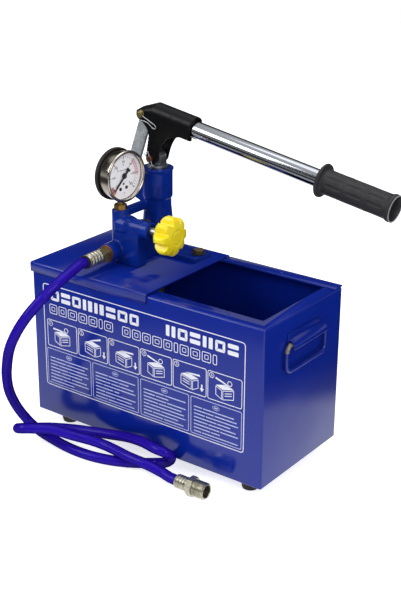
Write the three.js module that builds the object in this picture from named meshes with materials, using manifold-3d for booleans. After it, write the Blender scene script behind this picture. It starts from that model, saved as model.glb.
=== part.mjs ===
// A hand-operated hydrostatic test pump: an open steel water tank with a lever pump, a pressure
// gauge, a shut-off valve with a star knob and a delivery hose. Millimetres, +Z up.
import * as THREE from 'three';
import { mergeVertices } from 'three/addons/utils/BufferGeometryUtils.js';
import Module from 'manifold-3d';

const wasm = await Module();
wasm.setup();

// Driving sizes of the tank, measured from its lower front left corner
const tank = { length: 352, width: 168, height: 203, sheet: 1.5, frontRim: 22, rearRim: 16, endRim: 17 };
const lid = { length: 186.3, plate: 3, wall: 2, frontLip: 12.5, sideLip: 6, pipeHole: 9.5, drainHole: 4 };
const foot = {
  top: 13, bottom: 10, height: 18, insetX: 32, insetY: 26.5, recess: 5.5, recessDepth: 8, bore: 2.8,
};
const footScrew = { shank: 2.5, head: 4.8, headHeight: 3.2, standUp: 4 };

// Carry handle on the right end: a hood strap and a wire bail
const strap = { length: 71, flange: 6, sheet: 1.5, reach: 11, drop: 10.5, below: 20, offCentre: -2 };
const bail = { wire: 5, span: 84, hang: 33, bend: 9, stub: 24, steps: 40, sides: 10 };

// Pump body casting, measured from the barrel's axis and the top of the lid
const pump = { x: 97, fromRear: 35 };
const base = { left: 55, right: 73, width: 35, height: 7, bolt: 65, boltHole: 4.4 };
const barrel = {
  bore: 10.4, foot: 23, waist: 17.5, waistHeight: 62, collar: 19, collarBottom: 70.7, lip: 20.3,
  lipHeight: 2.6, top: 109.5, floor: 14, packingRecess: 14, packingDepth: 15, packingHeight: 9,
};
const tower = { x: -9.4, y: -62.5, radius: 11, bottom: 8, top: 68, bore: 3 };
const outlet = { radius: 11.6, height: 17.2, reach: 27.5, bore: 6.2, boreDepth: 14 };
const valveBoss = { radius: 10.8, height: 48.4, reach: 48.5, bore: 6.2, seat: 2.2, seatDepth: 9 };
const pedestal = { left: -5.7, right: 26, depth: 14 };
const arm = { width: 10, bottom: 56.5, height: 11 };
const rib = { width: 20, height: 24, passage: 3 };
const delivery = { y: -34, boss: 11, bossTop: 38.4, bore: 7, boreBottom: 21, throat: 3 };
const suction = { port: 8.2, portDepth: 10, throat: 4 };
const lug = { eye: 9.5, thickness: 17, slot: 5.9, root: 34, pinBore: 4.3 };

// Plunger, lever and link
const plunger = { radius: 10, bottom: 31, flange: 13, flangeHeight: 3.2, tongue: 14, tongueWidth: 19 };
const pivot = { height: 123.2, bore: 3.8 };
const lever = {
  tilt: 9.8, width: 26, sheet: 2.5, axisHeight: 53.2, ridge: 68.5, sole: 40.1, sleeveEnd: 51.5,
  apex: 10, eyeReach: 23.8, eyeHeight: 51, eyeRadius: 8.6, legRadius: 8.7, throat: 13.8, split: 9,
  cheekEnd: 36,
};
const link = {
  width: 17, thickness: 4.5, length: 100.5, lean: 19, top: 5.8, foot: 11.5, footBore: 6.4, taper: 20,
};
const openPlay = { x: -2.3, z: 0.2 };
const handle = { tube: 10.6, wall: 1.6, start: 4, end: 323 };
const grip = {
  start: 234, length: 97.5, radius: 15, flange: 20, flangeWidth: 4, blend: 3, rim: 16.6, rimWidth: 5,
};
const pin = { upper: 3.5, lower: 3.5, link: 3.8, overhang: 4.2, headHeight: 1.8 };
const clip = {
  wire: 0.8, bore: 1.15, upperLength: 30, lowerLength: 22, linkLength: 15, upperLean: 25,
  lowerLean: 68,
};

// Gauge, centred over the tower
const gauge = {
  height: 111.6, turn: 5.5, radius: 30.7, wall: 1, back: 12, front: 13.2, bezel: 32.5, bezelWidth: 6,
  bezelLip: 2.8, boot: 32.9, bootWidth: 8, bootWall: 1.6, dial: 28.9, dialAt: 6.2, dialSheet: 0.8, glass: 2,
};
const movement = {
  width: 16, height: 12, depth: 4, arbor: 1.1, hub: 3.2, pointer: 22.7, tail: 10, blade: 1, rest: 45,
};
const bourdon = { radius: 20, tube: 2.4, bends: 20, sides: 8 };
const bourdonDegrees = { start: -68, sweep: 248 };
const stem = { hex: 7.3, hexHeight: 6.2, neck: 4.2, block: 6, shank: 4.6, shankDepth: 10 };

// Valve: a needle that slides, and a spindle that turns behind it
const needle = { radius: 5.6, length: 9, tip: 2.9 };
const spindle = { thread: 5.8, threadLength: 14, rod: 4.5, collar: 5.5 };
const valveRing = { outer: 6, inner: 4.7, width: 2.4 };
const knob = {
  lobes: 8, radius: 25.6, notch: 5.6, width: 22.5, edge: 5, edgeDepth: 6.5, rimEnd: 14, shoulder: 21.5,
  shoulderAt: 19, face: 13.5, hub: 9.5, dish: 3, bore: 4.7, screw: 3, gap: 9.7, neck: 7.5, neckLength: 8.5,
};

// Suction side and check valves
const pipe = { radius: 7.8, bore: 5.6, engage: 9 };
const strainer = { radius: 11, wall: 1.5, height: 26, slots: 6, slotWidth: 3, slotHeight: 14, floorGap: 6 };
const ball = { suction: 5.6, delivery: 4.6 };
const plug = { hex: 8, hexHeight: 7, shank: 6.6, shankDepth: 5, washer: 10, washerHeight: 1.5 };
const bolt = {
  hex: 6.5, headHeight: 4.3, washer: 9, washerHeight: 1.4, shank: 4, length: 22, nutHeight: 5.5,
};

// Hose and its fittings
const hose = { radius: 6.5, steps: 78, sides: 8, straightPoints: 2, followPoints: 8 };
const nipple = {
  washer: 11, washerInner: 6.4, washerWidth: 2, hex: 8.7, hexWidth: 12, shank: 6, shankDepth: 11,
};
const ferrule = { radius: 8.8, groove: 7.6, ribs: 4, length: 24, shortLength: 18 };
const ending = { hex: 11, hexWidth: 8, thread: 10.4, threadLength: 17, bore: 7.6, boreDepth: 20 };

// Clearances, overrun of a cut, and how finely round things are divided
const seam = 0.3;
const running = 0.4;
const overrun = 2;
const fineSides = 32;
const plainSides = 20;
const smallSides = 12;
const curveSegments = 8;
const hexSides = 6;
const quarterShares = [0, 0.25, 0.5, 0.75, 1];

// Heights and places that follow from the sizes above
const lidTop = tank.height + seam + lid.plate;
const pumpY = tank.width - pump.fromRear;
const strapTop = tank.height - strap.below;
const strapCentre = tank.width / 2 + strap.offCentre;
const linkLean = THREE.MathUtils.degToRad(link.lean);
const leverTilt = THREE.MathUtils.degToRad(lever.tilt);
const eyePoint = new THREE.Vector2(-lever.eyeReach, lever.eyeHeight)
  .rotateAround(new THREE.Vector2(), -leverTilt);
const linkFoot = new THREE.Vector2(
  eyePoint.x - link.length * Math.sin(linkLean),
  pivot.height + eyePoint.y - link.length * Math.cos(linkLean),
);
const lugPin = new THREE.Vector2(linkFoot.x + openPlay.x, linkFoot.y + openPlay.z);
const outletRoot = new THREE.Vector3(pump.x + tower.x, pumpY + tower.y - outlet.reach,
    lidTop + outlet.height);

// Route of the hose, in the tank's own frame, from the pump's outlet to its end fitting, and the place
// of the outlet that it was drawn for
const drawnOutlet = [87.6, 43, 223.5];
const hoseRoute = [
  [87.6, 3.8, 223.5], [87.6, -8, 223.4], [87.3, -26, 218], [84, -50, 207], [76, -71, 190],
  [63, -86, 166], [46, -90, 134], [23.8, -77.1, 92], [13.1, -67.2, 70], [6.9, -59, 51],
  [3.6, -49.4, 32], [2.8, -38.6, 13], [7.4, -29.8, -3], [16.8, -28, -10], [31, -31.8, -11.4],
  [52.9, -36.5, -11.4], [92.5, -42.4, -11.4], [125, -41.5, -11.4], [152.2, -35.1, -11.4],
  [173.4, -25.9, -11.4], [189.2, -16.1, -11.4], [203.5, -7.5, -10.4], [217, -7.7, -5],
  [226.5, -9.4, 2.6], [230, -14, 11], [226.1, -19.7, 17.3], [214.1, -21.5, 19],
  [189.7, -16.2, 17.8], [162, -11.6, 13.5], [132.7, -11.6, 8], [103.1, -15.8, 4.5],
  [75.9, -23.3, 2.5], [52.7, -35.5, 2.2], [34.3, -51, 2.6], [29, -62, 5.2],
  [32.9, -72.6, 10.6], [43.6, -76.6, 15.4], [55, -71.7, 17], [73.5, -57.1, 15.5],
  [84.8, -51.1, 13.5], [97, -46.2, 11], [107.6, -39.7, 8], [119.1, -34, 5.5],
  [132.3, -30.4, 3.5], [142.8, -29.4, 2.6], [160.5, -30.7, 2.2], [180.1, -33.2, 2],
  [208.3, -32.5, 0.5], [228.7, -29.2, -4.5], [243, -30, -6.9], [253, -30, -6.9],
];

// Materials, as the object shows them
function finish(color, roughness, metalness) {
  return new THREE.MeshStandardMaterial({ color, roughness, metalness });
}
const tankPaint = finish(0x2433a0, 0.35, 0.1);
const castPaint = finish(0x132f86, 0.4, 0.1);
const handlePaint = finish(0x17181d, 0.45, 0.2);
const blackRubber = finish(0x141416, 0.8, 0);
const gripPlastic = finish(0x1e1e24, 0.6, 0);
const knobPlastic = finish(0xf7e010, 0.4, 0);
const hosePlastic = finish(0x3a1fc0, 0.25, 0);
const chrome = finish(0xd8dade, 0.12, 1);
const steel = finish(0xa8b0b4, 0.4, 1);
const stainless = finish(0xb4a898, 0.25, 1);
const zinc = finish(0xa89a60, 0.4, 1);
const brass = finish(0xb08a3c, 0.35, 1);
const copper = finish(0xb06a5a, 0.4, 1);
const dialWhite = finish(0xe8e4f0, 0.6, 0);
const pointerBlack = finish(0x101012, 0.6, 0);
const clearGlass = new THREE.MeshStandardMaterial({
  color: 0xf0f4f6, roughness: 0.05, metalness: 0, transparent: true, opacity: 0.3,
});

// Turns a closed geometry into a solid, with its faces pointing out
function solid(geometry) {
  const bare = geometry.clone();
  bare.deleteAttribute('normal');
  bare.deleteAttribute('uv');
  const merged = mergeVertices(bare);
  const vertProperties = new Float32Array(merged.attributes.position.array);
  const triVerts = new Uint32Array(merged.index.array);
  if (signedVolume(vertProperties, triVerts) < 0) {
    triVerts.reverse();
  }
  return new wasm.Manifold(new wasm.Mesh({ numProp: 3, vertProperties, triVerts }));
}

function signedVolume(points, triangles) {
  const corners = [new THREE.Vector3(), new THREE.Vector3(), new THREE.Vector3()];
  let sum = 0;
  for (let index = 0; index < triangles.length; index += corners.length) {
    corners.forEach((corner, place) => corner.fromArray(points, triangles[index + place] * corners.length));
    sum += corners[0].dot(corners[1].clone().cross(corners[2]));
  }
  return sum;
}

function skin(body) {
  const mesh = body.getMesh();
  const geometry = new THREE.BufferGeometry();
  geometry.setAttribute('position', new THREE.BufferAttribute(new Float32Array(mesh.vertProperties),
      mesh.numProp));
  geometry.setIndex(new THREE.BufferAttribute(new Uint32Array(mesh.triVerts), 1));
  geometry.computeVertexNormals();
  return geometry;
}

function place(group, name, body, material) {
  const mesh = new THREE.Mesh(skin(body), material.clone());
  mesh.name = name;
  group.add(mesh);
  return mesh;
}

// A box from its two corners
function block(x0, x1, y0, y1, z0, z1) {
  const geometry = new THREE.BoxGeometry(x1 - x0, y1 - y0, z1 - z0);
  geometry.translate((x0 + x1) / 2, (y0 + y1) / 2, (z0 + z1) / 2);
  return solid(geometry);
}

// Geometry drawn along +Z is turned to lie along another axis
function turnTo(geometry, axis) {
  if (axis === 'x') {
    geometry.rotateY(Math.PI / 2);
  }
  if (axis === 'y') {
    geometry.rotateX(-Math.PI / 2);
  }
  return geometry;
}

// A round or many-sided bar along an axis, from one place on it to another
function bar(axis, radius, from, to, centre, sides = plainSides, endRadius = radius) {
  const geometry = new THREE.CylinderGeometry(endRadius, radius, to - from, sides);
  geometry.rotateX(Math.PI / 2);
  geometry.translate(0, 0, (from + to) / 2);
  turnTo(geometry, axis);
  geometry.translate(...centre);
  return solid(geometry);
}

// A hexagon bar is sized by half its width across flats
function hexBar(axis, halfFlats, from, to, centre) {
  return bar(axis, halfFlats / Math.cos(Math.PI / hexSides), from, to, centre, hexSides);
}

function ringBar(axis, outer, inner, from, to, centre, sides = plainSides) {
  return bar(axis, outer, from, to, centre, sides)
    .subtract(bar(axis, inner, from - overrun, to + overrun, centre, sides));
}

// A turned piece: pairs of radius and place along the axis, from the axis back to the axis
function turned(axis, profile, centre, sides = plainSides) {
  const points = profile.map(([radius, along]) => new THREE.Vector2(radius, along));
  const geometry = new THREE.LatheGeometry(points, sides);
  geometry.rotateX(Math.PI / 2);
  turnTo(geometry, axis);
  geometry.translate(...centre);
  return solid(geometry);
}

// An outline in X and Z, extruded along Y
function plateXZ(shape, y0, y1) {
  const geometry = new THREE.ExtrudeGeometry(shape, { depth: y1 - y0, bevelEnabled: false, curveSegments });
  geometry.rotateX(Math.PI / 2);
  geometry.translate(0, y1, 0);
  return solid(geometry);
}

// An outline in Y and Z, extruded along X
function plateYZ(shape, x0, x1) {
  const geometry = new THREE.ExtrudeGeometry(shape, { depth: x1 - x0, bevelEnabled: false, curveSegments });
  geometry.rotateX(Math.PI / 2);
  geometry.rotateZ(Math.PI / 2);
  geometry.translate(x0, 0, 0);
  return solid(geometry);
}

function circleShape(radius, sides) {
  const shape = new THREE.Shape();
  for (let side = 0; side < sides; side += 1) {
    const angle = (2 * Math.PI * side) / sides;
    shape[side ? 'lineTo' : 'moveTo'](radius * Math.cos(angle), radius * Math.sin(angle));
  }
  return shape;
}

// A round wire or tube along a smooth curve
function wire(curve, radius, steps, sides) {
  const section = circleShape(radius, sides);
  return solid(new THREE.ExtrudeGeometry(section, { steps, bevelEnabled: false, extrudePath: curve }));
}

// Tank: a folded wrap, two end plates, the lid and the feet
function footPlaces() {
  const places = [];
  for (const [side, x] of [['left', foot.insetX], ['right', tank.length - foot.insetX]]) {
    for (const [row, y] of [['front', foot.insetY], ['rear', tank.width - foot.insetY]]) {
      places.push({ name: `${row}_${side}`, x, y });
    }
  }
  return places;
}

function buildTank(root) {
  const { length, width, height, sheet } = tank;
  let wrap = block(0, length, 0, width, 0, height);
  wrap = wrap.subtract(block(-overrun, length + overrun, sheet, width - sheet, sheet, height - sheet));
  wrap = wrap.subtract(block(
    -overrun, length + overrun, tank.frontRim, width - tank.rearRim, height - sheet - overrun,
        height + overrun,
  ));
  for (const { x, y } of footPlaces()) {
    wrap = wrap.subtract(bar('z', foot.bore, -overrun, sheet + overrun, [x, y, 0], smallSides));
  }
  place(root, 'tank_wrap', wrap, tankPaint);

  const inner = sheet + seam;
  for (const [name, x0, x1, rimTo] of [
    ['tank_end_left', 0, sheet, tank.endRim],
    ['tank_end_right', length - sheet, length, length - tank.endRim],
  ]) {
    const wall = block(x0, x1, inner, width - inner, inner, height - inner);
    const rim = block(Math.min(x0, rimTo), Math.max(x1, rimTo), inner, width - inner,
      height - inner - sheet, height - inner);
    place(root, name, wall.add(rim), tankPaint);
  }
  buildLid(root);
  buildFeet(root);
}

function buildLid(root) {
  const inside = -seam;
  const outside = inside - lid.wall;
  const under = tank.height + seam;
  const lidEnd = outside + lid.length;
  let cover = block(outside, lidEnd, outside, tank.width - outside, under, lidTop);
  cover = cover.add(block(outside, lidEnd, outside, inside, lidTop - lid.frontLip, lidTop));
  cover = cover.add(block(outside, inside, outside, tank.width - outside,
      lidTop - lid.sideLip - lid.plate, lidTop));
  cover = cover.add(block(outside, lidEnd, tank.width - inside, tank.width - outside,
    lidTop - lid.frontLip, lidTop));
  cover = cover.subtract(bar('z', lid.pipeHole, under - overrun, lidTop + overrun, [pump.x, pumpY, 0]));
  const drainX = pump.x + drainPlace();
  cover = cover.subtract(bar('z', lid.drainHole, under - overrun, lidTop + overrun,
    [drainX, pumpY + tower.y, 0], smallSides));
  for (const x of boltPlaces()) {
    cover = cover.subtract(bar('z', base.boltHole, under - overrun, lidTop + overrun,
      [pump.x + x, pumpY, 0], smallSides));
  }
  place(root, 'lid_plate', cover, tankPaint);
}

function drainPlace() {
  return (tower.x + pedestal.right) / 2 + valveBoss.seatDepth / 2;
}

function boltPlaces() {
  return [-base.left + (base.right - base.bolt), base.bolt];
}

function buildFeet(root) {
  const floor = -seam - foot.height;
  for (const { name, x, y } of footPlaces()) {
    const cone = bar('z', foot.bottom, floor, -seam, [x, y, 0], plainSides, foot.top);
    const recess = bar('z', foot.recess, floor - overrun, floor + foot.recessDepth, [x, y, 0], smallSides);
    const bore = bar('z', foot.bore, floor, overrun, [x, y, 0], smallSides);
    place(root, `foot_${name}`, cone.subtract(recess).subtract(bore), blackRubber);
    const headTop = floor + foot.recessDepth - seam;
    const head = bar('z', footScrew.head, headTop - footScrew.headHeight, headTop, [x, y, 0], smallSides);
    const shank = bar('z', footScrew.shank, headTop - footScrew.headHeight / 2,
        tank.sheet + footScrew.standUp,
      [x, y, 0], smallSides);
    place(root, `foot_screw_${name}`, head.add(shank), steel);
  }
}

// Carry handle: the strap is a hood fixed to the end wall, the bail is a bent wire that swings in it
function bailPivot() {
  return {
    x: tank.length + seam + strap.sheet + running + bail.wire / 2,
    z: strapTop - strap.flange - strap.drop + bail.wire / 2 + strap.sheet,
  };
}

function buildCarryHandle(root) {
  const wallFace = tank.length + seam;
  const hoodTop = strapTop - strap.flange;
  const hoodBottom = hoodTop - strap.drop;
  const hood = new THREE.Shape();
  hood.moveTo(wallFace, strapTop);
  hood.lineTo(wallFace + strap.sheet, strapTop);
  hood.lineTo(wallFace + strap.sheet, hoodTop);
  hood.quadraticCurveTo(wallFace + strap.reach, hoodTop - strap.sheet, wallFace + strap.reach, hoodBottom);
  hood.lineTo(wallFace + strap.reach - strap.sheet, hoodBottom);
  hood.quadraticCurveTo(wallFace + strap.reach - strap.sheet, hoodTop - strap.sheet - strap.sheet,
    wallFace + strap.sheet, hoodTop - strap.sheet);
  hood.lineTo(wallFace + strap.sheet, hoodBottom);
  hood.lineTo(wallFace, hoodBottom);
  hood.closePath();
  place(root, 'handle_strap', plateXZ(hood, strapCentre - strap.length / 2, strapCentre + strap.length / 2),
    tankPaint);

  const { x, z } = bailPivot();
  const half = bail.span / 2;
  const bend = bail.bend;
  const outline = [];
  outline.push([half - bail.stub, 0], [half - bend, 0]);
  outline.push(...arcPoints(half - bend, -bend, bend, Math.PI / 2, 0));
  outline.push([half, -bail.hang / 2]);
  outline.push(...arcPoints(half - bend, bend - bail.hang, bend, 0, -Math.PI / 2));
  outline.push([half / 2, -bail.hang], [0, -bail.hang]);
  const mirrored = outline.slice(0, -1).reverse().map(([y, drop]) => [-y, drop]);
  const points = outline.concat(mirrored).map(([y, drop]) => new THREE.Vector3(x, strapCentre + y, z + drop));
  const curve = new THREE.CatmullRomCurve3(points, false, 'centripetal');
  place(root, 'handle_bail', wire(curve, bail.wire / 2, bail.steps, bail.sides), tankPaint);
}

function arcPoints(centreX, centreY, radius, from, to) {
  return quarterShares.map((share) => {
    const angle = from + (to - from) * share;
    return [centreX + radius * Math.cos(angle), centreY + radius * Math.sin(angle)];
  });
}

// Pump body: one casting with the barrel, the valve tower, their bosses and the link's lug
function buildPumpBody(group) {
  let body = block(-base.left, base.right, -base.width / 2, base.width / 2, 0, base.height);
  body = body.add(turned('z', [
    [0, 0], [barrel.foot, 0], [barrel.foot, base.height], [barrel.waist, barrel.waistHeight],
    [barrel.waist, barrel.collarBottom], [barrel.collar, barrel.collarBottom],
    [barrel.collar, barrel.top - barrel.lipHeight], [barrel.lip, barrel.top - barrel.lipHeight],
    [barrel.lip, barrel.top], [0, barrel.top],
  ], [0, 0, 0], fineSides));

  const towerFront = tower.y - tower.radius;
  body = body.add(bar('z', tower.radius, tower.bottom, tower.top, [tower.x, tower.y, 0]));
  body = body.add(bar('y', outlet.radius, tower.y - outlet.reach, tower.y, [tower.x, 0, outlet.height]));
  body = body.add(bar('x', valveBoss.radius, tower.x, tower.x + valveBoss.reach, [0, tower.y,
      valveBoss.height]));
  body = body.add(block(pedestal.left, pedestal.right, towerFront,
      towerFront + pedestal.depth + tower.radius / 2,
    0, valveBoss.height));
  body = body.add(block(tower.x - arm.width / 2, tower.x + arm.width / 2, tower.y, 0,
    arm.bottom, arm.bottom + arm.height));
  body = body.add(block(pedestal.left, pedestal.left + rib.width, tower.y, 0, 0, rib.height));
  const chamberX = pedestal.left + rib.width / 2;
  body = body.add(bar('z', delivery.boss, 0, delivery.bossTop, [chamberX, delivery.y, 0]));
  body = body.add(lugSolid());

  body = body.subtract(pumpBores(chamberX));
  place(group, 'pump_body', body, castPaint);
}

function lugSolid() {
  const outline = new THREE.Shape();
  outline.absarc(lugPin.x, lugPin.y, lug.eye, Math.PI / 2, Math.PI * 1.25, false);
  outline.lineTo(-barrel.waist / 2, barrel.top - lug.root - barrel.collar);
  outline.lineTo(-barrel.waist / 2, lugPin.y + lug.eye);
  outline.closePath();
  const plate = plateXZ(outline, -lug.thickness / 2, lug.thickness / 2);
  const room = link.foot + Math.abs(openPlay.x) + running;
  const slot = bar('y', room, -lug.slot / 2, lug.slot / 2, [lugPin.x, 0, lugPin.y]);
  const leaning = lug.eye * Math.tan(linkLean) + running;
  const open = block(lugPin.x - room, lugPin.x + room + leaning, -lug.slot / 2, lug.slot / 2,
    lugPin.y, lugPin.y + room);
  const pinBore = bar('y', lug.pinBore, -lug.thickness, lug.thickness, [lugPin.x, 0, lugPin.y], smallSides);
  return plate.subtract(slot).subtract(open).subtract(pinBore);
}

function pumpBores(chamberX) {
  let cut = bar('z', barrel.bore, barrel.floor, barrel.top + overrun, [0, 0, 0]);
  cut = cut.add(bar('z', barrel.packingRecess, barrel.top - barrel.packingDepth, barrel.top + overrun,
      [0, 0, 0]));
  cut = cut.add(bar('z', suction.port, -overrun, suction.portDepth, [0, 0, 0]));
  cut = cut.add(bar('z', suction.throat, 0, barrel.floor + overrun, [0, 0, 0], smallSides));
  for (const x of boltPlaces()) {
    cut = cut.add(bar('z', base.boltHole, -overrun, base.height + overrun, [x, 0, 0], smallSides));
  }
  const passageHeight = barrel.floor + rib.passage;
  cut = cut.add(bar('y', rib.passage, delivery.y, 0, [0, 0, passageHeight], smallSides));
  cut = cut.add(bar('z', delivery.throat, passageHeight, delivery.boreBottom + overrun,
    [chamberX, delivery.y, 0], smallSides));
  cut = cut.add(bar('x', rib.passage, 0, chamberX, [0, delivery.y, passageHeight], smallSides));
  cut = cut.add(bar('z', delivery.bore, delivery.boreBottom, delivery.bossTop + overrun, [chamberX,
      delivery.y, 0]));
  const riseHeight = delivery.boreBottom + rib.passage;
  cut = cut.add(bar('y', rib.passage - running, tower.y, delivery.y, [chamberX, 0, riseHeight - rib.passage],
    smallSides));
  cut = cut.add(bar('x', tower.bore, tower.x, chamberX, [0, tower.y, outlet.height], smallSides));
  cut = cut.add(bar('z', tower.bore, outlet.height, tower.top + overrun, [tower.x, tower.y, 0], smallSides));
  cut = cut.add(bar('z', stem.shank + running, tower.top - stem.shankDepth - running, tower.top + overrun,
    [tower.x, tower.y, 0]));
  cut = cut.add(bar('y', tower.bore, tower.y - outlet.reach, tower.y, [tower.x, 0, outlet.height],
      smallSides));
  cut = cut.add(bar('y', outlet.bore, tower.y - outlet.reach - overrun,
      tower.y - outlet.reach + outlet.boreDepth,
    [tower.x, 0, outlet.height]));
  const bossEnd = tower.x + valveBoss.reach;
  cut = cut.add(bar('x', valveBoss.seat, tower.x, bossEnd, [0, tower.y, valveBoss.height], smallSides));
  cut = cut.add(bar('x', valveBoss.bore, tower.x + tower.radius, bossEnd + overrun,
    [0, tower.y, valveBoss.height]));
  cut = cut.add(bar('z', valveBoss.seat, -overrun, valveBoss.height, [drainPlace(), tower.y, 0],
    smallSides));
  return cut;
}

// Hexagon head bolts that hold the pump body to the lid
function buildBaseBolts(group) {
  const names = ['left', 'right'];
  boltPlaces().forEach((x, index) => {
    const washerBottom = base.height + seam;
    const headBottom = washerBottom + bolt.washerHeight + seam;
    const nutTop = -lid.plate - seam;
    place(group, `base_washer_${names[index]}`,
      ringBar('z', bolt.washer, base.boltHole, washerBottom, washerBottom + bolt.washerHeight, [x, 0,
          0]), steel);
    const head = hexBar('z', bolt.hex, headBottom, headBottom + bolt.headHeight, [x, 0, 0]);
    const shank = bar('z', bolt.shank, headBottom - bolt.length, headBottom + bolt.headHeight / 2, [x, 0, 0],
      smallSides);
    place(group, `base_bolt_${names[index]}`, head.add(shank), zinc);
    const nut = hexBar('z', bolt.hex, nutTop - bolt.nutHeight, nutTop, [x, 0, 0])
      .subtract(bar('z', bolt.shank + seam, nutTop - bolt.nutHeight - overrun, nutTop + overrun, [x, 0, 0],
        smallSides));
    place(group, `base_nut_${names[index]}`, nut, zinc);
  });
}

// Suction pipe with its strainer, and the balls of the two check valves
function buildValves(group) {
  const pipeTop = suction.portDepth - seam;
  const tankFloor = tank.sheet - lidTop;
  const strainerBottom = tankFloor + strainer.floorGap;
  const strainerTop = strainerBottom + strainer.height;
  const pipeBottom = strainerTop - pipe.engage;
  place(group, 'suction_pipe', ringBar('z', pipe.radius, pipe.bore, pipeBottom, pipeTop, [0, 0, 0]), zinc);

  const mouth = pipe.radius + seam;
  let cage = turned('z', [
    [0, strainerBottom], [strainer.radius, strainerBottom], [strainer.radius, strainerTop],
    [mouth, strainerTop], [mouth, strainerTop - pipe.engage - seam],
    [strainer.radius - strainer.wall, strainerTop - pipe.engage - seam],
    [strainer.radius - strainer.wall, strainerBottom + strainer.wall], [0, strainerBottom + strainer.wall],
  ], [0, 0, 0]);
  for (let slot = 0; slot < strainer.slots / 2; slot += 1) {
    const cut = block(-strainer.radius - overrun, strainer.radius + overrun, -strainer.slotWidth / 2,
      strainer.slotWidth / 2, strainerBottom + strainer.wall, strainerBottom + strainer.slotHeight);
    cage = cage.subtract(cut.rotate([0, 0, (360 * slot) / strainer.slots]));
  }
  place(group, 'suction_strainer', cage, brass);

  const chamberX = pedestal.left + rib.width / 2;
  for (const [name, radius, throat, x, y, seatHeight] of [
    ['suction_ball', ball.suction, suction.throat, 0, 0, barrel.floor],
    ['delivery_ball', ball.delivery, delivery.throat, chamberX, delivery.y, delivery.boreBottom],
  ]) {
    const rise = Math.sqrt(radius * radius - throat * throat);
    const geometry = new THREE.SphereGeometry(radius, smallSides, smallSides / 2);
    geometry.translate(x, y, seatHeight + rise + seam);
    place(group, name, solid(geometry), steel);
  }

  const washerTop = delivery.bossTop + seam + plug.washerHeight;
  place(group, 'delivery_washer', ringBar('z', plug.washer, plug.shank + running,
      delivery.bossTop + seam, washerTop,
    [chamberX, delivery.y, 0]), copper);
  const plugHead = hexBar('z', plug.hex, washerTop + seam, washerTop + seam + plug.hexHeight,
    [chamberX, delivery.y, 0]);
  const plugShank = bar('z', plug.shank, delivery.bossTop - plug.shankDepth, washerTop + plug.hexHeight / 2,
    [chamberX, delivery.y, 0]);
  place(group, 'delivery_plug', plugHead.add(plugShank), zinc);
}

// Plunger with its flange and tongue, and the packing that it slides through
function buildPlunger(group) {
  const recessFloor = barrel.top - barrel.packingDepth + seam;
  const bushBottom = recessFloor + barrel.packingHeight;
  const sleeve = plunger.radius + running;
  place(group, 'plunger_packing', ringBar('z', barrel.packingRecess - seam, sleeve, recessFloor,
      bushBottom - seam,
    [0, 0, 0]), blackRubber);
  place(group, 'gland_bush', ringBar('z', barrel.packingRecess - seam, sleeve, bushBottom, barrel.top - seam,
    [0, 0, 0]), brass);

  const flangeBottom = barrel.top + seam;
  const flangeTop = flangeBottom + plunger.flangeHeight;
  const halfWidth = plunger.tongueWidth / 2;
  const tongue = new THREE.Shape();
  tongue.moveTo(-halfWidth, flangeTop - seam);
  tongue.lineTo(halfWidth, flangeTop - seam);
  tongue.lineTo(halfWidth, pivot.height);
  tongue.absarc(0, pivot.height, halfWidth, 0, Math.PI, false);
  tongue.closePath();
  const body = bar('z', plunger.radius, plunger.bottom, flangeTop - seam, [0, 0, 0])
    .add(bar('z', plunger.flange, flangeBottom, flangeTop, [0, 0, 0], fineSides))
    .add(plateXZ(tongue, -plunger.tongue / 2, plunger.tongue / 2))
    .subtract(bar('y', pivot.bore, -plunger.tongue, plunger.tongue, [0, 0, pivot.height], smallSides));
  place(group, 'plunger', body, steel);
}

// A cross pin with a head at its far end and a hole for its clip at the near end
function crossPin(radius, halfSpan, centre, clipLean) {
  const shank = bar('y', radius, -halfSpan - pin.overhang, halfSpan + seam, centre, smallSides);
  const head = bar('y', radius + pin.headHeight, halfSpan + seam, halfSpan + seam + pin.headHeight,
      centre, plainSides);
  const hole = clipRod(clip.bore, radius + overrun, radius + overrun, clipLean)
    .translate([centre[0], clipPlane(halfSpan), centre[2]]);
  return shank.add(head).subtract(hole);
}

function clipPlane(halfSpan) {
  return -halfSpan - pin.overhang / 2;
}

// A straight clip wire in the plane of the lever, leaning down from level
function clipRod(radius, before, after, lean) {
  return bar('x', radius, -before, after, [0, 0, 0], smallSides / 2 + 1).rotate([0, lean, 0]);
}

// Lever head: two cheeks joined by a folded ridge, closed to a sleeve round the tube
function headOutline() {
  const { eyeReach, eyeHeight, eyeRadius, legRadius, ridge, sole, sleeveEnd, apex, throat, cheekEnd } = lever;
  const shape = new THREE.Shape();
  shape.moveTo(-apex, ridge);
  shape.lineTo(-eyeReach - eyeRadius / 2, eyeHeight + eyeRadius);
  shape.absarc(-eyeReach, eyeHeight, eyeRadius, Math.PI * 0.6, Math.PI * 1.4, false);
  shape.quadraticCurveTo(-legRadius, sole, -legRadius, (sole + legRadius) / 2);
  shape.lineTo(-legRadius, 0);
  shape.absarc(0, 0, legRadius, Math.PI, 2 * Math.PI, false);
  shape.quadraticCurveTo(throat, sole, cheekEnd, sole);
  shape.lineTo(sleeveEnd, sole);
  shape.lineTo(sleeveEnd, ridge);
  shape.closePath();
  return shape;
}

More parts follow.
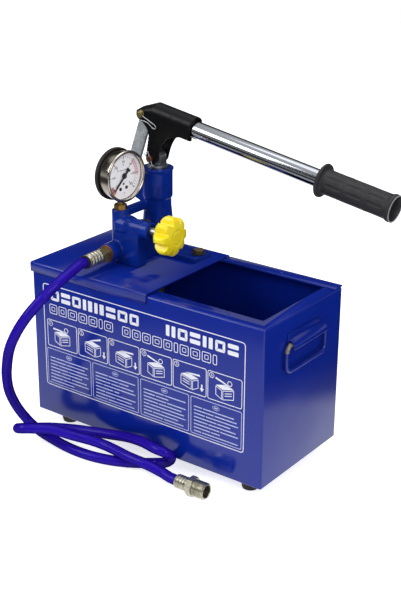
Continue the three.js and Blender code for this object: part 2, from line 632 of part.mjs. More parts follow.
function buildLever(group) {
  const half = lever.width / 2;
  const inner = half - lever.sheet;
  const axisZ = lever.axisHeight;
  let head = plateXZ(headOutline(), -half, half);
  const slotTop = lever.ridge - lever.sheet;
  const slot = new THREE.Shape();
  slot.moveTo(-lever.apex - lever.sheet, slotTop);
  slot.lineTo(-lever.eyeReach - lever.eyeRadius / 2, lever.eyeHeight + lever.eyeRadius - lever.sheet);
  slot.lineTo(-lever.eyeReach - lever.eyeRadius - overrun, lever.eyeHeight + lever.eyeRadius / 2);
  slot.lineTo(-lever.eyeReach - lever.eyeRadius - overrun, -lever.legRadius - overrun);
  slot.lineTo(lever.throat + lever.sheet, -lever.legRadius - overrun);
  slot.lineTo(lever.cheekEnd, lever.sole - overrun);
  slot.lineTo(lever.cheekEnd, slotTop);
  slot.closePath();
  head = head.subtract(plateXZ(slot, -inner, inner));
  head = head.subtract(bar('x', handle.tube + seam, handle.start - seam, lever.sleeveEnd + overrun, [0,
      0, axisZ]));
  head = head.subtract(block(0, lever.sleeveEnd + overrun, -lever.split / 2, lever.split / 2,
    lever.sole - overrun, axisZ));
  head = head.subtract(bar('y', pin.upper + seam, -half - overrun, half + overrun,
    [-lever.eyeReach, 0, lever.eyeHeight], smallSides));
  head = head.subtract(bar('y', pin.lower + seam, -half - overrun, half + overrun, [0, 0, 0], smallSides));
  place(group, 'lever_head', head, handlePaint);

  const tube = ringBar('x', handle.tube, handle.tube - handle.wall, handle.start, handle.end, [0, 0, axisZ]);
  place(group, 'handle_tube', tube, chrome);
  buildGrip(group, axisZ);

  const eye = [-lever.eyeReach, 0, lever.eyeHeight];
  place(group, 'upper_pin', crossPin(pin.upper, half, eye, clip.upperLean - lever.tilt), zinc);
  place(group, 'lower_pin', crossPin(pin.lower, half, [0, 0, 0], clip.lowerLean - lever.tilt), copper);
  place(group, 'upper_clip', clipRod(clip.wire, pin.upper + overrun, clip.upperLength - pin.upper,
    clip.upperLean - lever.tilt).translate([eye[0], clipPlane(half), eye[2]]), steel);
  place(group, 'lower_clip', clipRod(clip.wire, clip.lowerLength / 2, clip.lowerLength / 2,
    clip.lowerLean - lever.tilt).translate([0, clipPlane(half), 0]), steel);
}

// Grip: a moulded sleeve with a flange, a rim and shallow oblong grooves, open at its end
function buildGrip(group, axisZ) {
  const end = grip.start + grip.length;
  const bore = handle.tube + seam;
  const body = turned('x', [
    [bore, grip.start], [grip.flange, grip.start], [grip.flange, grip.start + grip.flangeWidth],
    [grip.radius, grip.start + grip.flangeWidth + grip.blend], [grip.radius,
      end - grip.rimWidth - grip.blend],
    [grip.rim, end - grip.rimWidth], [grip.rim, end], [bore, end], [bore, grip.start],
  ], [0, 0, axisZ]);
  place(group, 'handle_grip', body, gripPlastic);
}

// Link: a flat bar from the lug on the pump body up to the lever's eye
function buildLink(group) {
  const shape = new THREE.Shape();
  const half = link.width / 2;
  shape.absarc(0, 0, link.foot, Math.PI, 2 * Math.PI, false);
  shape.quadraticCurveTo(half, link.foot, half, link.taper);
  shape.lineTo(half, link.length - link.taper);
  shape.quadraticCurveTo(half, link.length - link.top, link.top, link.length);
  shape.absarc(0, link.length, link.top, 0, Math.PI, false);
  shape.quadraticCurveTo(-half, link.length - link.top, -half, link.length - link.taper);
  shape.lineTo(-half, link.taper);
  shape.quadraticCurveTo(-half, link.foot, -link.foot, 0);
  shape.closePath();
  const plate = plateXZ(shape, -link.thickness / 2, link.thickness / 2)
    .subtract(bar('y', link.footBore, -link.width, link.width, [0, 0, 0]))
    .subtract(bar('y', pin.upper + seam, -link.width, link.width, [0, 0, link.length], smallSides));
  place(group, 'link_bar', plate, steel);
}

function buildLinkPin(group) {
  const centre = [lugPin.x, 0, lugPin.y];
  const half = lug.thickness / 2;
  place(group, 'link_pin', crossPin(pin.link, half, centre, clip.lowerLean), zinc);
  place(group, 'link_clip', clipRod(clip.wire, clip.linkLength / 2, clip.linkLength / 2, clip.lowerLean)
    .translate([lugPin.x, clipPlane(half), lugPin.y]), steel);
}

// Gauge: drawn about its own centre with its face towards +X
function buildGauge(group, pointerGroup) {
  const { radius, wall, back, front } = gauge;
  const at = [0, 0, 0];
  const bootFront = -back + gauge.bootWidth;
  const bezelBack = front - gauge.bezelWidth;
  const caseBack = -back + gauge.bootWall + seam;
  const stemHole = stem.neck + seam;
  const stemCut = bar('z', stemHole, -gauge.boot - overrun, -radius / 2, at, plainSides);

  let shell = turned('x', [
    [0, caseBack], [radius, caseBack], [radius, front - gauge.bezelLip], [radius - wall,
      front - gauge.bezelLip],
    [radius - wall, caseBack + wall], [0, caseBack + wall],
  ], at, fineSides);
  shell = shell.subtract(stemCut);
  place(group, 'gauge_case', shell, stainless);

  let boot = turned('x', [
    [0, -back], [gauge.boot - gauge.bootWall, -back], [gauge.boot, -back + gauge.bootWall],
    [gauge.boot, bootFront], [radius + seam, bootFront], [radius + seam, -back + gauge.bootWall],
    [0, -back + gauge.bootWall],
  ], at, fineSides);
  boot = boot.subtract(stemCut);
  place(group, 'gauge_boot', boot, blackRubber);

  const bezel = turned('x', [
    [radius + seam, bezelBack], [gauge.bezel - wall, bezelBack], [gauge.bezel, bezelBack + wall],
    [gauge.bezel, front - wall], [gauge.bezel - wall, front], [gauge.dial, front],
    [gauge.dial, front - wall], [radius + seam, front - wall - wall], [radius + seam, bezelBack],
  ], at, fineSides);
  place(group, 'gauge_bezel', bezel, stainless);

  const glassFront = front - wall - wall - seam;
  place(group, 'gauge_glass', bar('x', radius - wall - seam, glassFront - gauge.glass, glassFront, at,
      fineSides),
    clearGlass);
  const dialFront = gauge.dialAt - gauge.dialSheet;
  const dial = bar('x', radius - wall - seam, dialFront - gauge.dialSheet, dialFront, at, fineSides)
    .subtract(bar('x', movement.arbor + seam, dialFront - overrun, dialFront + overrun, at, smallSides));
  place(group, 'gauge_dial', dial, dialWhite);

  buildMovement(group, caseBack + wall, dialFront);
  buildPointer(pointerGroup, dialFront, glassFront - gauge.glass);
}

// Stem with its socket block, the curved pressure tube, and the movement that carries the arbor
function buildMovement(group, floorX, dialFront) {
  const boreX = floorX + seam;
  const neckTop = bourdon.radius;
  const stemBody = bar('z', stem.neck, -gauge.height + tower.top + stem.hexHeight + seam, -neckTop, [0, 0, 0])
    .add(hexBar('z', stem.hex, -gauge.height + tower.top + seam,
        -gauge.height + tower.top + stem.hexHeight + seam,
      [0, 0, 0]))
    .add(bar('z', stem.shank, -gauge.height + tower.top - stem.shankDepth,
      -gauge.height + tower.top + stem.hexHeight / 2, [0, 0, 0]))
    .add(block(boreX, movement.depth, -stem.block, stem.block, -neckTop - stem.block / 2,
        -neckTop + stem.block))
    .subtract(bar('z', tower.bore / 2, -gauge.height + tower.top - stem.shankDepth - overrun, -neckTop,
        [0, 0, 0],
      smallSides));
  place(group, 'gauge_stem', stemBody, brass);

  const turnPoints = [];
  for (let step = 0; step <= bourdon.bends; step += 1) {
    const share = step / bourdon.bends;
    const angle = THREE.MathUtils.degToRad(bourdonDegrees.start + bourdonDegrees.sweep * share);
    turnPoints.push(new THREE.Vector3(-movement.depth / 2, bourdon.radius * Math.cos(angle),
      bourdon.radius * Math.sin(angle)));
  }
  const curve = new THREE.CatmullRomCurve3(turnPoints, false, 'centripetal');
  place(group, 'pressure_tube', wire(curve, bourdon.tube, bourdon.bends, bourdon.sides), brass);

  const plate = block(boreX, dialFront - gauge.dialSheet - movement.depth, -movement.width / 2,
      movement.width / 2,
    -movement.height / 2, movement.height / 2)
    .subtract(bar('x', movement.arbor + seam, -gauge.back, gauge.front, [0, 0, 0], smallSides));
  place(group, 'gauge_movement', plate, brass);
}

function buildPointer(group, dialFront, roomFront) {
  const bladeBack = dialFront + seam + movement.blade;
  const bladeFront = bladeBack + movement.blade;
  const arborBack = -gauge.back / 2;
  const outline = new THREE.Shape();
  const hub = movement.hub;
  outline.moveTo(-movement.pointer, 0);
  outline.lineTo(-hub, -hub / 2);
  outline.lineTo(movement.tail, -hub / 2);
  outline.lineTo(movement.tail, hub / 2);
  outline.lineTo(-hub, hub / 2);
  outline.closePath();
  const blade = plateYZ(outline, bladeBack, bladeFront)
    .add(bar('x', hub, bladeBack, bladeFront, [0, 0, 0]))
    .add(bar('x', movement.arbor, arborBack, Math.min(bladeFront, roomFront), [0, 0, 0], smallSides));
  place(group, 'gauge_pointer', blade, pointerBlack);
}

// Valve on its own axis, along +X from the tower's side
function buildNeedle(group) {
  const at = [0, tower.y, valveBoss.height];
  const seatX = tower.x + tower.radius;
  const rise = needle.tip - valveBoss.seat;
  const tip = bar('x', valveBoss.seat - seam, seatX + seam, seatX + seam + rise, at, plainSides, needle.tip);
  const stemPart = bar('x', needle.tip, seatX + seam + rise, seatX + needle.length / 2, at);
  const collar = bar('x', needle.radius, seatX + needle.length / 2, seatX + needle.length, at);
  place(group, 'valve_needle', tip.add(stemPart).add(collar), brass);
}

function buildSpindle(group) {
  const at = [0, tower.y, valveBoss.height];
  const bossEnd = tower.x + valveBoss.reach;
  const start = tower.x + tower.radius + needle.length + seam;
  const neckBack = bossEnd + knob.gap;
  const knobBack = neckBack + knob.neckLength;
  const knobFront = knobBack + knob.width;
  const body = bar('x', spindle.thread, start, start + spindle.threadLength, at)
    .add(bar('x', spindle.rod, start, knobFront - knob.dish - knob.screw, at))
    .add(bar('x', spindle.collar, bossEnd + seam, neckBack - seam, at));
  place(group, 'valve_spindle', body, steel);

  let star = turned('x', [
    [0, neckBack], [knob.neck, neckBack], [knob.neck, knobBack], [knob.radius - knob.edge, knobBack],
    [knob.radius, knobBack + knob.edgeDepth], [knob.radius, knobBack + knob.rimEnd],
    [knob.shoulder, knobBack + knob.shoulderAt], [knob.face, knobFront], [knob.hub, knobFront],
    [knob.hub - knob.dish, knobFront - knob.dish],
    [0, knobFront - knob.dish],
  ], at, fineSides);
  const notchRadius = (Math.PI * knob.radius) / knob.lobes / 2;
  for (let lobe = 0; lobe < knob.lobes; lobe += 1) {
    const angle = (2 * Math.PI * (lobe + 0.5)) / knob.lobes;
    const away = knob.radius + notchRadius - knob.notch;
    star = star.subtract(bar('x', notchRadius, knobBack - overrun, knobFront + overrun,
      [0, at[1] + away * Math.cos(angle), at[2] + away * Math.sin(angle)]));
  }
  star = star.subtract(bar('x', knob.bore, neckBack - overrun, knobFront + overrun, at));
  place(group, 'star_knob', star, knobPlastic);
  place(group, 'knob_screw', bar('x', knob.bore - seam, knobFront - knob.dish - knob.screw + seam,
    knobFront - knob.dish / 2, at, plainSides), steel);
}

function buildValveRing(group) {
  const bossEnd = tower.x + valveBoss.reach;
  place(group, 'valve_packing', ringBar('x', valveRing.outer, valveRing.inner + seam,
      bossEnd - valveRing.width,
    bossEnd - seam, [0, tower.y, valveBoss.height]), blackRubber);
}

// Hose and what is on it, from the outlet boss to the end fitting
function ribbedFerrule(axis, from, to, centre) {
  const { radius, groove, ribs } = ferrule;
  const pitch = (to - from) / (2 * ribs + 1);
  const profile = [[0, from], [radius, from]];
  for (let rib = 0; rib < ribs; rib += 1) {
    const start = from + pitch * (2 * rib + 1);
    profile.push([radius, start], [groove, start + pitch / 2], [groove, start + pitch / 2 + pitch / 4]);
    profile.push([radius, start + pitch]);
  }
  profile.push([radius, to], [0, to]);
  return turned(axis, profile, centre, smallSides);
}

// The route's first points keep to the outlet, and the shift fades out along the next ones
function placedRoute() {
  const shift = new THREE.Vector3(...outletRoot).sub(new THREE.Vector3(...drawnOutlet));
  return hoseRoute.map((point, index) => {
    const share = THREE.MathUtils.clamp((index + 1 - hose.straightPoints) / hose.followPoints, 0, 1);
    return new THREE.Vector3(...point).addScaledVector(shift, 1 - share);
  });
}

function buildHose(root) {
  const { x, y, z } = outletRoot;
  const washerNear = y - seam - nipple.washerWidth;
  const hexNear = washerNear - seam - nipple.hexWidth;
  const ferruleNear = hexNear - seam - ferrule.length;
  place(root, 'outlet_washer', ringBar('y', nipple.washer, nipple.washerInner, washerNear, y - seam, [x,
      0, z]),
    copper);
  const shankEnd = y + nipple.shankDepth;
  const body = hexBar('y', nipple.hex, hexNear, washerNear - seam, [x, 0, z])
    .add(bar('y', nipple.shank, washerNear - nipple.hexWidth / 2, shankEnd, [x, 0, z]))
    .subtract(bar('y', tower.bore, hexNear - overrun, shankEnd + overrun, [x, 0, z], smallSides));
  place(root, 'hose_nipple', body, zinc);
  place(root, 'inlet_ferrule', ribbedFerrule('y', ferruleNear, hexNear - seam, [x, 0, z]), steel);

  const points = placedRoute();
  const curve = new THREE.CatmullRomCurve3(points, false, 'centripetal');
  place(root, 'delivery_hose', wire(curve, hose.radius, hose.steps, hose.sides), hosePlastic);

  const end = points[points.length - 1];
  const endAt = [0, end.y, end.z];
  const ferruleFrom = end.x + seam;
  const ferruleTo = ferruleFrom + ferrule.shortLength;
  place(root, 'outlet_ferrule', ribbedFerrule('x', ferruleFrom, ferruleTo, endAt), zinc);
  const hexFrom = ferruleTo + seam;
  const hexTo = hexFrom + ending.hexWidth;
  const threadEnd = hexTo + ending.threadLength;
  const fitting = hexBar('x', ending.hex, hexFrom, hexTo, endAt)
    .add(bar('x', ending.thread, hexTo - overrun, threadEnd, endAt))
    .subtract(bar('x', ending.bore, threadEnd - ending.boreDepth, threadEnd + overrun, endAt));
  place(root, 'end_fitting', fitting, zinc);
}

// Assembly. Nested groups carry the pieces that lean or turn with one another.
const testPump = new THREE.Group();
const whole = new THREE.Group();
testPump.add(whole);

const pumpGroup = new THREE.Group();
pumpGroup.position.set(pump.x, pumpY, lidTop);
const leverGroup = new THREE.Group();
leverGroup.position.set(0, 0, pivot.height);
leverGroup.rotation.y = leverTilt;
const linkGroup = new THREE.Group();
linkGroup.position.set(linkFoot.x, 0, linkFoot.y);
linkGroup.rotation.y = linkLean;
const gaugeGroup = new THREE.Group();
gaugeGroup.position.set(tower.x, tower.y, gauge.height);
gaugeGroup.rotation.z = THREE.MathUtils.degToRad(-gauge.turn);
const pointerGroup = new THREE.Group();
pointerGroup.rotation.x = THREE.MathUtils.degToRad(movement.rest);
gaugeGroup.add(pointerGroup);
pumpGroup.add(leverGroup, linkGroup, gaugeGroup);
whole.add(pumpGroup);

buildTank(whole);
buildCarryHandle(whole);
buildPumpBody(pumpGroup);
buildBaseBolts(pumpGroup);
buildValves(pumpGroup);
buildPlunger(pumpGroup);
buildLever(leverGroup);
buildLink(linkGroup);
buildLinkPin(pumpGroup);
buildGauge(gaugeGroup, pointerGroup);
buildNeedle(pumpGroup);
buildSpindle(pumpGroup);
buildValveRing(pumpGroup);
buildHose(whole);

// The origin is under the middle of the box round all but the hose, at the height of the feet
const hosePieces = ['outlet_washer', 'hose_nipple', 'inlet_ferrule', 'delivery_hose', 'outlet_ferrule',
    'end_fitting'];
testPump.updateMatrixWorld(true);
const extent = new THREE.Box3();
testPump.traverse((item) => {
  if (item.isMesh && !hosePieces.includes(item.name)) {
    extent.expandByObject(item, true);
  }
});
const middle = extent.getCenter(new THREE.Vector3());
whole.position.set(-middle.x, -middle.y, -extent.min.z);

export default testPump;
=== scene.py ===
import math
import bmesh
import bpy
from mathutils import Matrix, Vector


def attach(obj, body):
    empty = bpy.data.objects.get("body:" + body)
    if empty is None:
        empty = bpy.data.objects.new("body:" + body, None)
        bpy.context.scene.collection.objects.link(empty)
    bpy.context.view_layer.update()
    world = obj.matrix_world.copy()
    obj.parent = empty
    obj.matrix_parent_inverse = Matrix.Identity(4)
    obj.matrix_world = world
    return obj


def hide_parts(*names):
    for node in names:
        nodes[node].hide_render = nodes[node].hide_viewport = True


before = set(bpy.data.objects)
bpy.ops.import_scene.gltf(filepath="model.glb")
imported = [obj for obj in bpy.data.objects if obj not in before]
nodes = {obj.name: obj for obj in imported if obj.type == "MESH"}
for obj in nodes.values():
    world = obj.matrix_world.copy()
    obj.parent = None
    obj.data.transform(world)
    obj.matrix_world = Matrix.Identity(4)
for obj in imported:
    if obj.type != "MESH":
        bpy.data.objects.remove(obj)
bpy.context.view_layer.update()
scene = bpy.context.scene
print("frame loaded:", len(nodes), "nodes")


def shift(x=0, y=0, z=0):
    return Matrix.Translation((x, y, z))


def turn(degrees, axis):
    return Matrix.Rotation(math.radians(degrees), 4, axis)


# Shapes are drawn in millimetres, each in the frame of the group that it belongs to
tankFrame = shift(-0.2166217, -0.084, 0.0183) @ Matrix.Scale(0.001, 4)
pumpFrame = tankFrame @ shift(97, 133, 206.3)
leverFrame = pumpFrame @ shift(0, 0, 123.2) @ turn(9.8, "Y")
linkFrame = pumpFrame @ shift(-47.492, 0, 82.482) @ turn(19, "Y")
tower = (-9.4, -62.5)
gaugeFrame = pumpFrame @ shift(*tower, 111.6) @ turn(-5.5, "Z")
valveFrame = pumpFrame @ shift(0, tower[1], 48.4)
outletFrame = tankFrame @ shift(87.6, 0, 223.5)
alongX = turn(90, "Y")
alongY = turn(-90, "X")

# Camera at the photograph's place
view = {"place": (0.81128, -1.1248, 0.7598), "yaw": -36.297, "pitch": 22.089, "roll": 0.391, "lens": 73.44}


def aimCamera():
    yaw, pitch, roll = (math.radians(view[key]) for key in ("yaw", "pitch", "roll"))
    ahead = Vector((math.sin(yaw) * math.cos(pitch), math.cos(yaw) * math.cos(pitch), -math.sin(pitch)))
    side = ahead.cross(Vector((0, 0, 1))).normalized()
    above = side.cross(ahead)
    right = side * math.cos(roll) + above * math.sin(roll)
    up = above * math.cos(roll) - side * math.sin(roll)
    camera = bpy.data.objects.new("camera", bpy.data.cameras.new("camera"))
    camera.data.lens = view["lens"]
    camera.data.sensor_width = 36
    basis = Matrix((right, up, -ahead)).transposed().to_4x4()
    camera.matrix_world = Matrix.Translation(view["place"]) @ basis
    scene.collection.objects.link(camera)
    scene.camera = camera


aimCamera()
print("camera set")


def take(form, part, place):
    bmesh.ops.remove_doubles(part, verts=part.verts, dist=0.002)
    bmesh.ops.recalc_face_normals(part, faces=part.faces)
    bmesh.ops.transform(part, matrix=place, verts=part.verts)
    spare = bpy.data.meshes.new("spare")
    part.to_mesh(spare)
    part.free()
    form.from_mesh(spare)
    bpy.data.meshes.remove(spare)


def softened(corners, steps=4):
    # A corner with a third number is rounded, cutting that much off its two sides
    points = []
    for index, corner in enumerate(corners):
        here = Vector(corner[:2])
        if len(corner) < 3:
            points.append(here)
            continue
        before = Vector(corners[index - 1][:2]) - here
        after = Vector(corners[(index + 1) % len(corners)][:2]) - here
        start = here + before.normalized() * min(corner[2], before.length / 2)
        end = here + after.normalized() * min(corner[2], after.length / 2)
        for step in range(steps + 1):
            share = step / steps
            points.append(start.lerp(here, share).lerp(here.lerp(end, share), share))
    return points


def arc(x, z, radius, start, end, step):
    return [(x + radius * math.cos(math.radians(a)), z + radius * math.sin(math.radians(a)))
            for a in range(start, end, step)]


def turnedForm(profile, steps):
    # Radius and height pairs, turned round the Z axis; a profile that starts off the axis is closed
    part = bmesh.new()
    line = [part.verts.new((radius, 0, along)) for radius, along in softened(profile)]
    ends = line[1:] + line[:1] if profile[0][0] else line[1:]
    edges = [part.edges.new(pair) for pair in zip(line, ends)]
    bmesh.ops.spin(part, geom=line + edges, axis=(0, 0, 1), cent=(0, 0, 0), angle=math.tau, steps=steps,
                   use_merge=True)
    return part


def spun(form, profile, place, steps=48):
    take(form, turnedForm(profile, steps), place)


def rounding(part, edges, offset, segments):
    bmesh.ops.bevel(part, geom=edges, offset=offset, offset_type="OFFSET", segments=segments, profile=0.5,
                    affect="EDGES", clamp_overlap=True, material=-1)


def prism(form, outline, low, high, place, bevel=0, segments=2):
    # An outline in X and Z, given its depth along Y
    part = bmesh.new()
    face = part.faces.new([part.verts.new((x, low, z)) for x, z in softened(outline, 6)])
    grown = bmesh.ops.extrude_face_region(part, geom=[face])["geom"]
    far = [item for item in grown if isinstance(item, bmesh.types.BMVert)]
    bmesh.ops.translate(part, vec=(0, high - low, 0), verts=far)
    if bevel:
        rims = [edge for edge in part.edges if abs(edge.verts[0].co.y - edge.verts[1].co.y) < 0.01]
        rounding(part, rims, bevel, segments)
    take(form, part, place)


def block(low, high):
    part = bmesh.new()
    size = Vector(high) - Vector(low)
    middle = (Vector(high) + Vector(low)) / 2
    bmesh.ops.create_cube(part, size=1, matrix=Matrix.Translation(middle) @ Matrix.Diagonal((*size, 1)))
    return part


def boxed(form, low, high, place, bevel):
    part = block(low, high)
    if bevel:
        rounding(part, part.edges[:], bevel, 2)
    take(form, part, place)


def smoothLine(points, each):
    # The same curve as the solid's: a centripetal Catmull-Rom through every point
    points = [Vector(point) for point in points]
    points = [2 * points[0] - points[1]] + points + [2 * points[-1] - points[-2]]
    line = []
    for a, b, c, d in zip(points, points[1:], points[2:], points[3:]):
        first, middle, last = ((q - p).length ** 0.5 for p, q in ((a, b), (b, c), (c, d)))
        out = ((b - a) / first - (c - a) / (first + middle) + (c - b) / middle) * middle
        back = ((c - b) / middle - (d - b) / (middle + last) + (d - c) / last) * middle
        for step in range(each):
            share = step / each
            line.append(b + out * share + (3 * (c - b) - 2 * out - back) * share ** 2
                        + (2 * (b - c) + out + back) * share ** 3)
    line.append(points[-2])
    return line


def meshed(form, curve, place):
    holder = bpy.data.objects.new("line", curve)
    part = bmesh.new()
    part.from_mesh(holder.to_mesh())
    holder.to_mesh_clear()
    bpy.data.objects.remove(holder)
    take(form, part, place)


def wired(form, points, radius, place, resolution=3):
    curve = bpy.data.curves.new("line", "CURVE")
    curve.dimensions = "3D"
    curve.bevel_depth = radius
    curve.bevel_resolution = resolution
    curve.use_fill_caps = True
    spline = curve.splines.new("POLY")
    spline.points.add(len(points) - 1)
    for point, spot in zip(spline.points, points):
        point.co = (*spot, 1)
    meshed(form, curve, place)


def numeral(form, text, size, depth, place):
    curve = bpy.data.curves.new("numeral", "FONT")
    curve.body = text
    curve.size = size
    curve.extrude = depth / 2
    curve.align_x = "CENTER"
    curve.align_y = "CENTER"
    meshed(form, curve, place)


def standIn(form, name):
    mesh = bpy.data.meshes.new(name)
    form.to_mesh(mesh)
    form.free()
    holder = bpy.data.objects.new(name, mesh)
    scene.collection.objects.link(holder)
    return holder


def settled(holder):
    # The mesh as its modifiers leave it, with the stand-in taken away
    bpy.context.view_layer.update()
    ready = holder.evaluated_get(bpy.context.evaluated_depsgraph_get())
    mesh = bpy.data.meshes.new_from_object(ready)
    old = holder.data
    bpy.data.objects.remove(holder)
    bpy.data.meshes.remove(old)
    form = bmesh.new()
    form.from_mesh(mesh)
    bpy.data.meshes.remove(mesh)
    return form


def carved(form, cutter, operation="DIFFERENCE"):
    holder = standIn(form, "body")
    knife = standIn(cutter, "cutter")
    step = holder.modifiers.new("cut", "BOOLEAN")
    step.object = knife
    step.operation = operation
    step.solver = "EXACT"
    made = settled(holder)
    old = knife.data
    bpy.data.objects.remove(knife)
    bpy.data.meshes.remove(old)
    return made


def blended(form, voxel, passes):
    # Grown together at the given fineness, then smoothed, in metres
    holder = standIn(form, "casting")
    remesh = holder.modifiers.new("remesh", "REMESH")
    remesh.mode = "VOXEL"
    remesh.voxel_size = voxel
    smooth = holder.modifiers.new("smooth", "SMOOTH")
    smooth.factor = 0.5
    smooth.iterations = passes
    return settled(holder)


def rod(radius, low, high):
    return [(0, low), (radius, low), (radius, high), (0, high)]


def collar(bore, radius, low, high, soft):
    return [(bore, low), (radius, low, soft), (radius, high, soft), (bore, high)]


def reshaped(form, place, profile, steps=32, operation="DIFFERENCE"):
    cutter = bmesh.new()
    spun(cutter, profile, place, steps)
    return carved(form, cutter, operation)


def hexed(form, place, halfFlats, low, high, bore=0, chamfer=1, turned=0):
    # A hexagon whose corners are turned off at both ends
    corner = halfFlats / math.cos(math.pi / 6)
    part = bmesh.new()
    bmesh.ops.create_cone(part, cap_ends=True, segments=6, radius1=corner, radius2=corner, depth=high - low,
                          matrix=shift(0, 0, (low + high) / 2) @ turn(turned, "Z"))
    drop, reach = chamfer * 0.6, corner + 0.2
    outer = [(0, low), (corner - chamfer, low), (reach, low + drop), (reach, high - drop),
             (corner - chamfer, high), (0, high)]
    part = reshaped(part, Matrix(), outer, 48, "INTERSECT")
    if bore:
        part = reshaped(part, Matrix(), rod(bore, low - 1, high + 1))
    take(form, part, place)


def finished(form, name, material, slotName, *replaced, body="tank", angle=35):
    mesh = bpy.data.meshes.new(name)
    form.to_mesh(mesh)
    form.free()
    mesh.shade_smooth()
    mesh.set_sharp_from_angle(angle=math.radians(angle))
    piece = bpy.data.objects.new(name, mesh)
    scene.collection.objects.link(piece)
    mesh.materials.append(material)
    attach(piece, body)
    if replaced:
        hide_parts(*replaced)
    return piece


def lathed(name, profile, place, steps, *dressing, body="tank"):
    form = bmesh.new()
    spun(form, profile, place, steps)
    return finished(form, name, *dressing, body=body)


def sheeted(piece, thickness):
    wall = piece.modifiers.new("sheet", "SOLIDIFY")
    wall.thickness = thickness / 1000
    wall.offset = -1
    wall.use_even_offset = True


def dress(material, *names):
    for name in names:
        slots = nodes[name].data.materials
        for index in range(len(slots)):
            slots[index] = material


def shade(code):
    parts = [int(code[at:at + 2], 16) / 255 for at in (1, 3, 5)]
    return tuple(p / 12.92 if p <= 0.04045 else ((p + 0.055) / 1.055) ** 2.4 for p in parts) + (1,)


def add(tree, kind, inputs=None, **settings):
    made = tree.nodes.new("ShaderNode" + kind)
    for key, value in settings.items():
        setattr(made, key, value)
    for key, value in (inputs or {}).items():
        if isinstance(value, bpy.types.NodeSocket):
            tree.links.new(value, made.inputs[key])
        else:
            made.inputs[key].default_value = value
    return made


def worked(tree, operation, first, second, clamped=False):
    return add(tree, "Math", {0: first, 1: second}, operation=operation, use_clamp=clamped).outputs[0]


def mixed(tree, factor, first, second):
    return add(tree, "Mix", {"Factor": factor, 6: first, 7: second}, data_type="RGBA").outputs[2]


def ranged(tree, value, low, high, start=0, end=1):
    return add(tree, "MapRange", {"Value": value, "From Min": start, "From Max": end, "To Min": low,
                                  "To Max": high}).outputs["Result"]


def stretched(tree, amount):
    spot = add(tree, "TexCoord")
    return add(tree, "VectorMath", {0: spot.outputs["Object"], 1: amount}, operation="MULTIPLY").outputs[0]


def newGroup(name, inputs, outputs):
    group = bpy.data.node_groups.new(name, "ShaderNodeTree")
    for label, kind, value in inputs:
        socket = group.interface.new_socket(name=label, in_out="INPUT", socket_type="NodeSocket" + kind)
        socket.default_value = value
    for label, kind in outputs:
        group.interface.new_socket(name=label, in_out="OUTPUT", socket_type="NodeSocket" + kind)
    return group, group.nodes.new("NodeGroupInput").outputs, group.nodes.new("NodeGroupOutput").inputs


def toneGroup():
    # Slow drift between two colours, with a mask of the same drift
    group, given, out = newGroup("toneDrift", [
        ("Light", "Color", (0.8, 0.8, 0.8, 1)), ("Dark", "Color", (0.2, 0.2, 0.2, 1)),
        ("Scale", "Float", 60), ("Contrast", "Float", 0.2), ("Stretch", "Vector", (1, 1, 1)),
    ], [("Color", "Color"), ("Mask", "Float")])
    cloud = add(group, "TexNoise", {"Vector": stretched(group, given["Stretch"]), "Scale": given["Scale"],
                                    "Detail": 5, "Roughness": 0.6})
    low = worked(group, "SUBTRACT", 0.5, given["Contrast"])
    high = worked(group, "ADD", 0.5, given["Contrast"])
    mask = ranged(group, cloud.outputs["Fac"], 0, 1, low, high)
    group.links.new(mixed(group, mask, given["Dark"], given["Light"]), out["Color"])
    group.links.new(mask, out["Mask"])
    return group


def grainGroup():
    # Fine relief, with a broad wave under it
    group, given, out = newGroup("fineRelief", [
        ("Scale", "Float", 800), ("Stretch", "Vector", (1, 1, 1)), ("Strength", "Float", 0.2),
        ("Depth", "Float", 0.0002), ("Wave Scale", "Float", 15), ("Wave Depth", "Float", 0.0),
    ], [("Normal", "Vector")])
    grain = add(group, "TexNoise", {"Vector": stretched(group, given["Stretch"]), "Scale": given["Scale"],
                                    "Detail": 3})
    spot = add(group, "TexCoord")
    wave = add(group, "TexNoise", {"Vector": spot.outputs["Object"], "Scale": given["Wave Scale"],
                                   "Detail": 1})
    broad = add(group, "Bump", {"Strength": 1, "Distance": given["Wave Depth"],
                                "Height": wave.outputs["Fac"]})
    bump = add(group, "Bump", {"Strength": given["Strength"], "Distance": given["Depth"],
                               "Height": grain.outputs["Fac"], "Normal": broad.outputs["Normal"]})
    group.links.new(bump.outputs["Normal"], out["Normal"])
    return group


def edgeGroup():
    # Painted highlight: a lighter tint where an edge is, broken up by noise
    group, given, out = newGroup("edgeHighlight", [
        ("Radius", "Float", 0.001), ("Amount", "Float", 2), ("Breakup", "Float", 250),
    ], [("Mask", "Float")])
    rounded = add(group, "Bevel", {"Radius": given["Radius"]}, samples=4)
    flat = add(group, "NewGeometry")
    dot = add(group, "VectorMath", {0: rounded.outputs["Normal"], 1: flat.outputs["Normal"]},
              operation="DOT_PRODUCT")
    edge = worked(group, "SUBTRACT", 1, dot.outputs["Value"])
    spot = add(group, "TexCoord")
    broken = add(group, "TexNoise", {"Vector": spot.outputs["Object"], "Scale": given["Breakup"],
                                     "Detail": 4})
    sharp = ranged(group, broken.outputs["Fac"], 0, 1, 0.42, 0.62)
    mask = worked(group, "MULTIPLY", worked(group, "MULTIPLY", edge, given["Amount"]), sharp, True)
    group.links.new(mask, out["Mask"])
    return group


def speckGroup():
    # Small scattered specks, such as dust in paint or spangle in zinc
    group, given, out = newGroup("smallSpecks", [("Scale", "Float", 300), ("Cover", "Float", 0.1)],
                                 [("Mask", "Float")])
    spot = add(group, "TexCoord")
    cells = add(group, "TexVoronoi", {"Vector": spot.outputs["Object"], "Scale": given["Scale"],
                                      "Randomness": 1})
    group.links.new(worked(group, "LESS_THAN", cells.outputs["Distance"], given["Cover"]), out["Mask"])
    return group


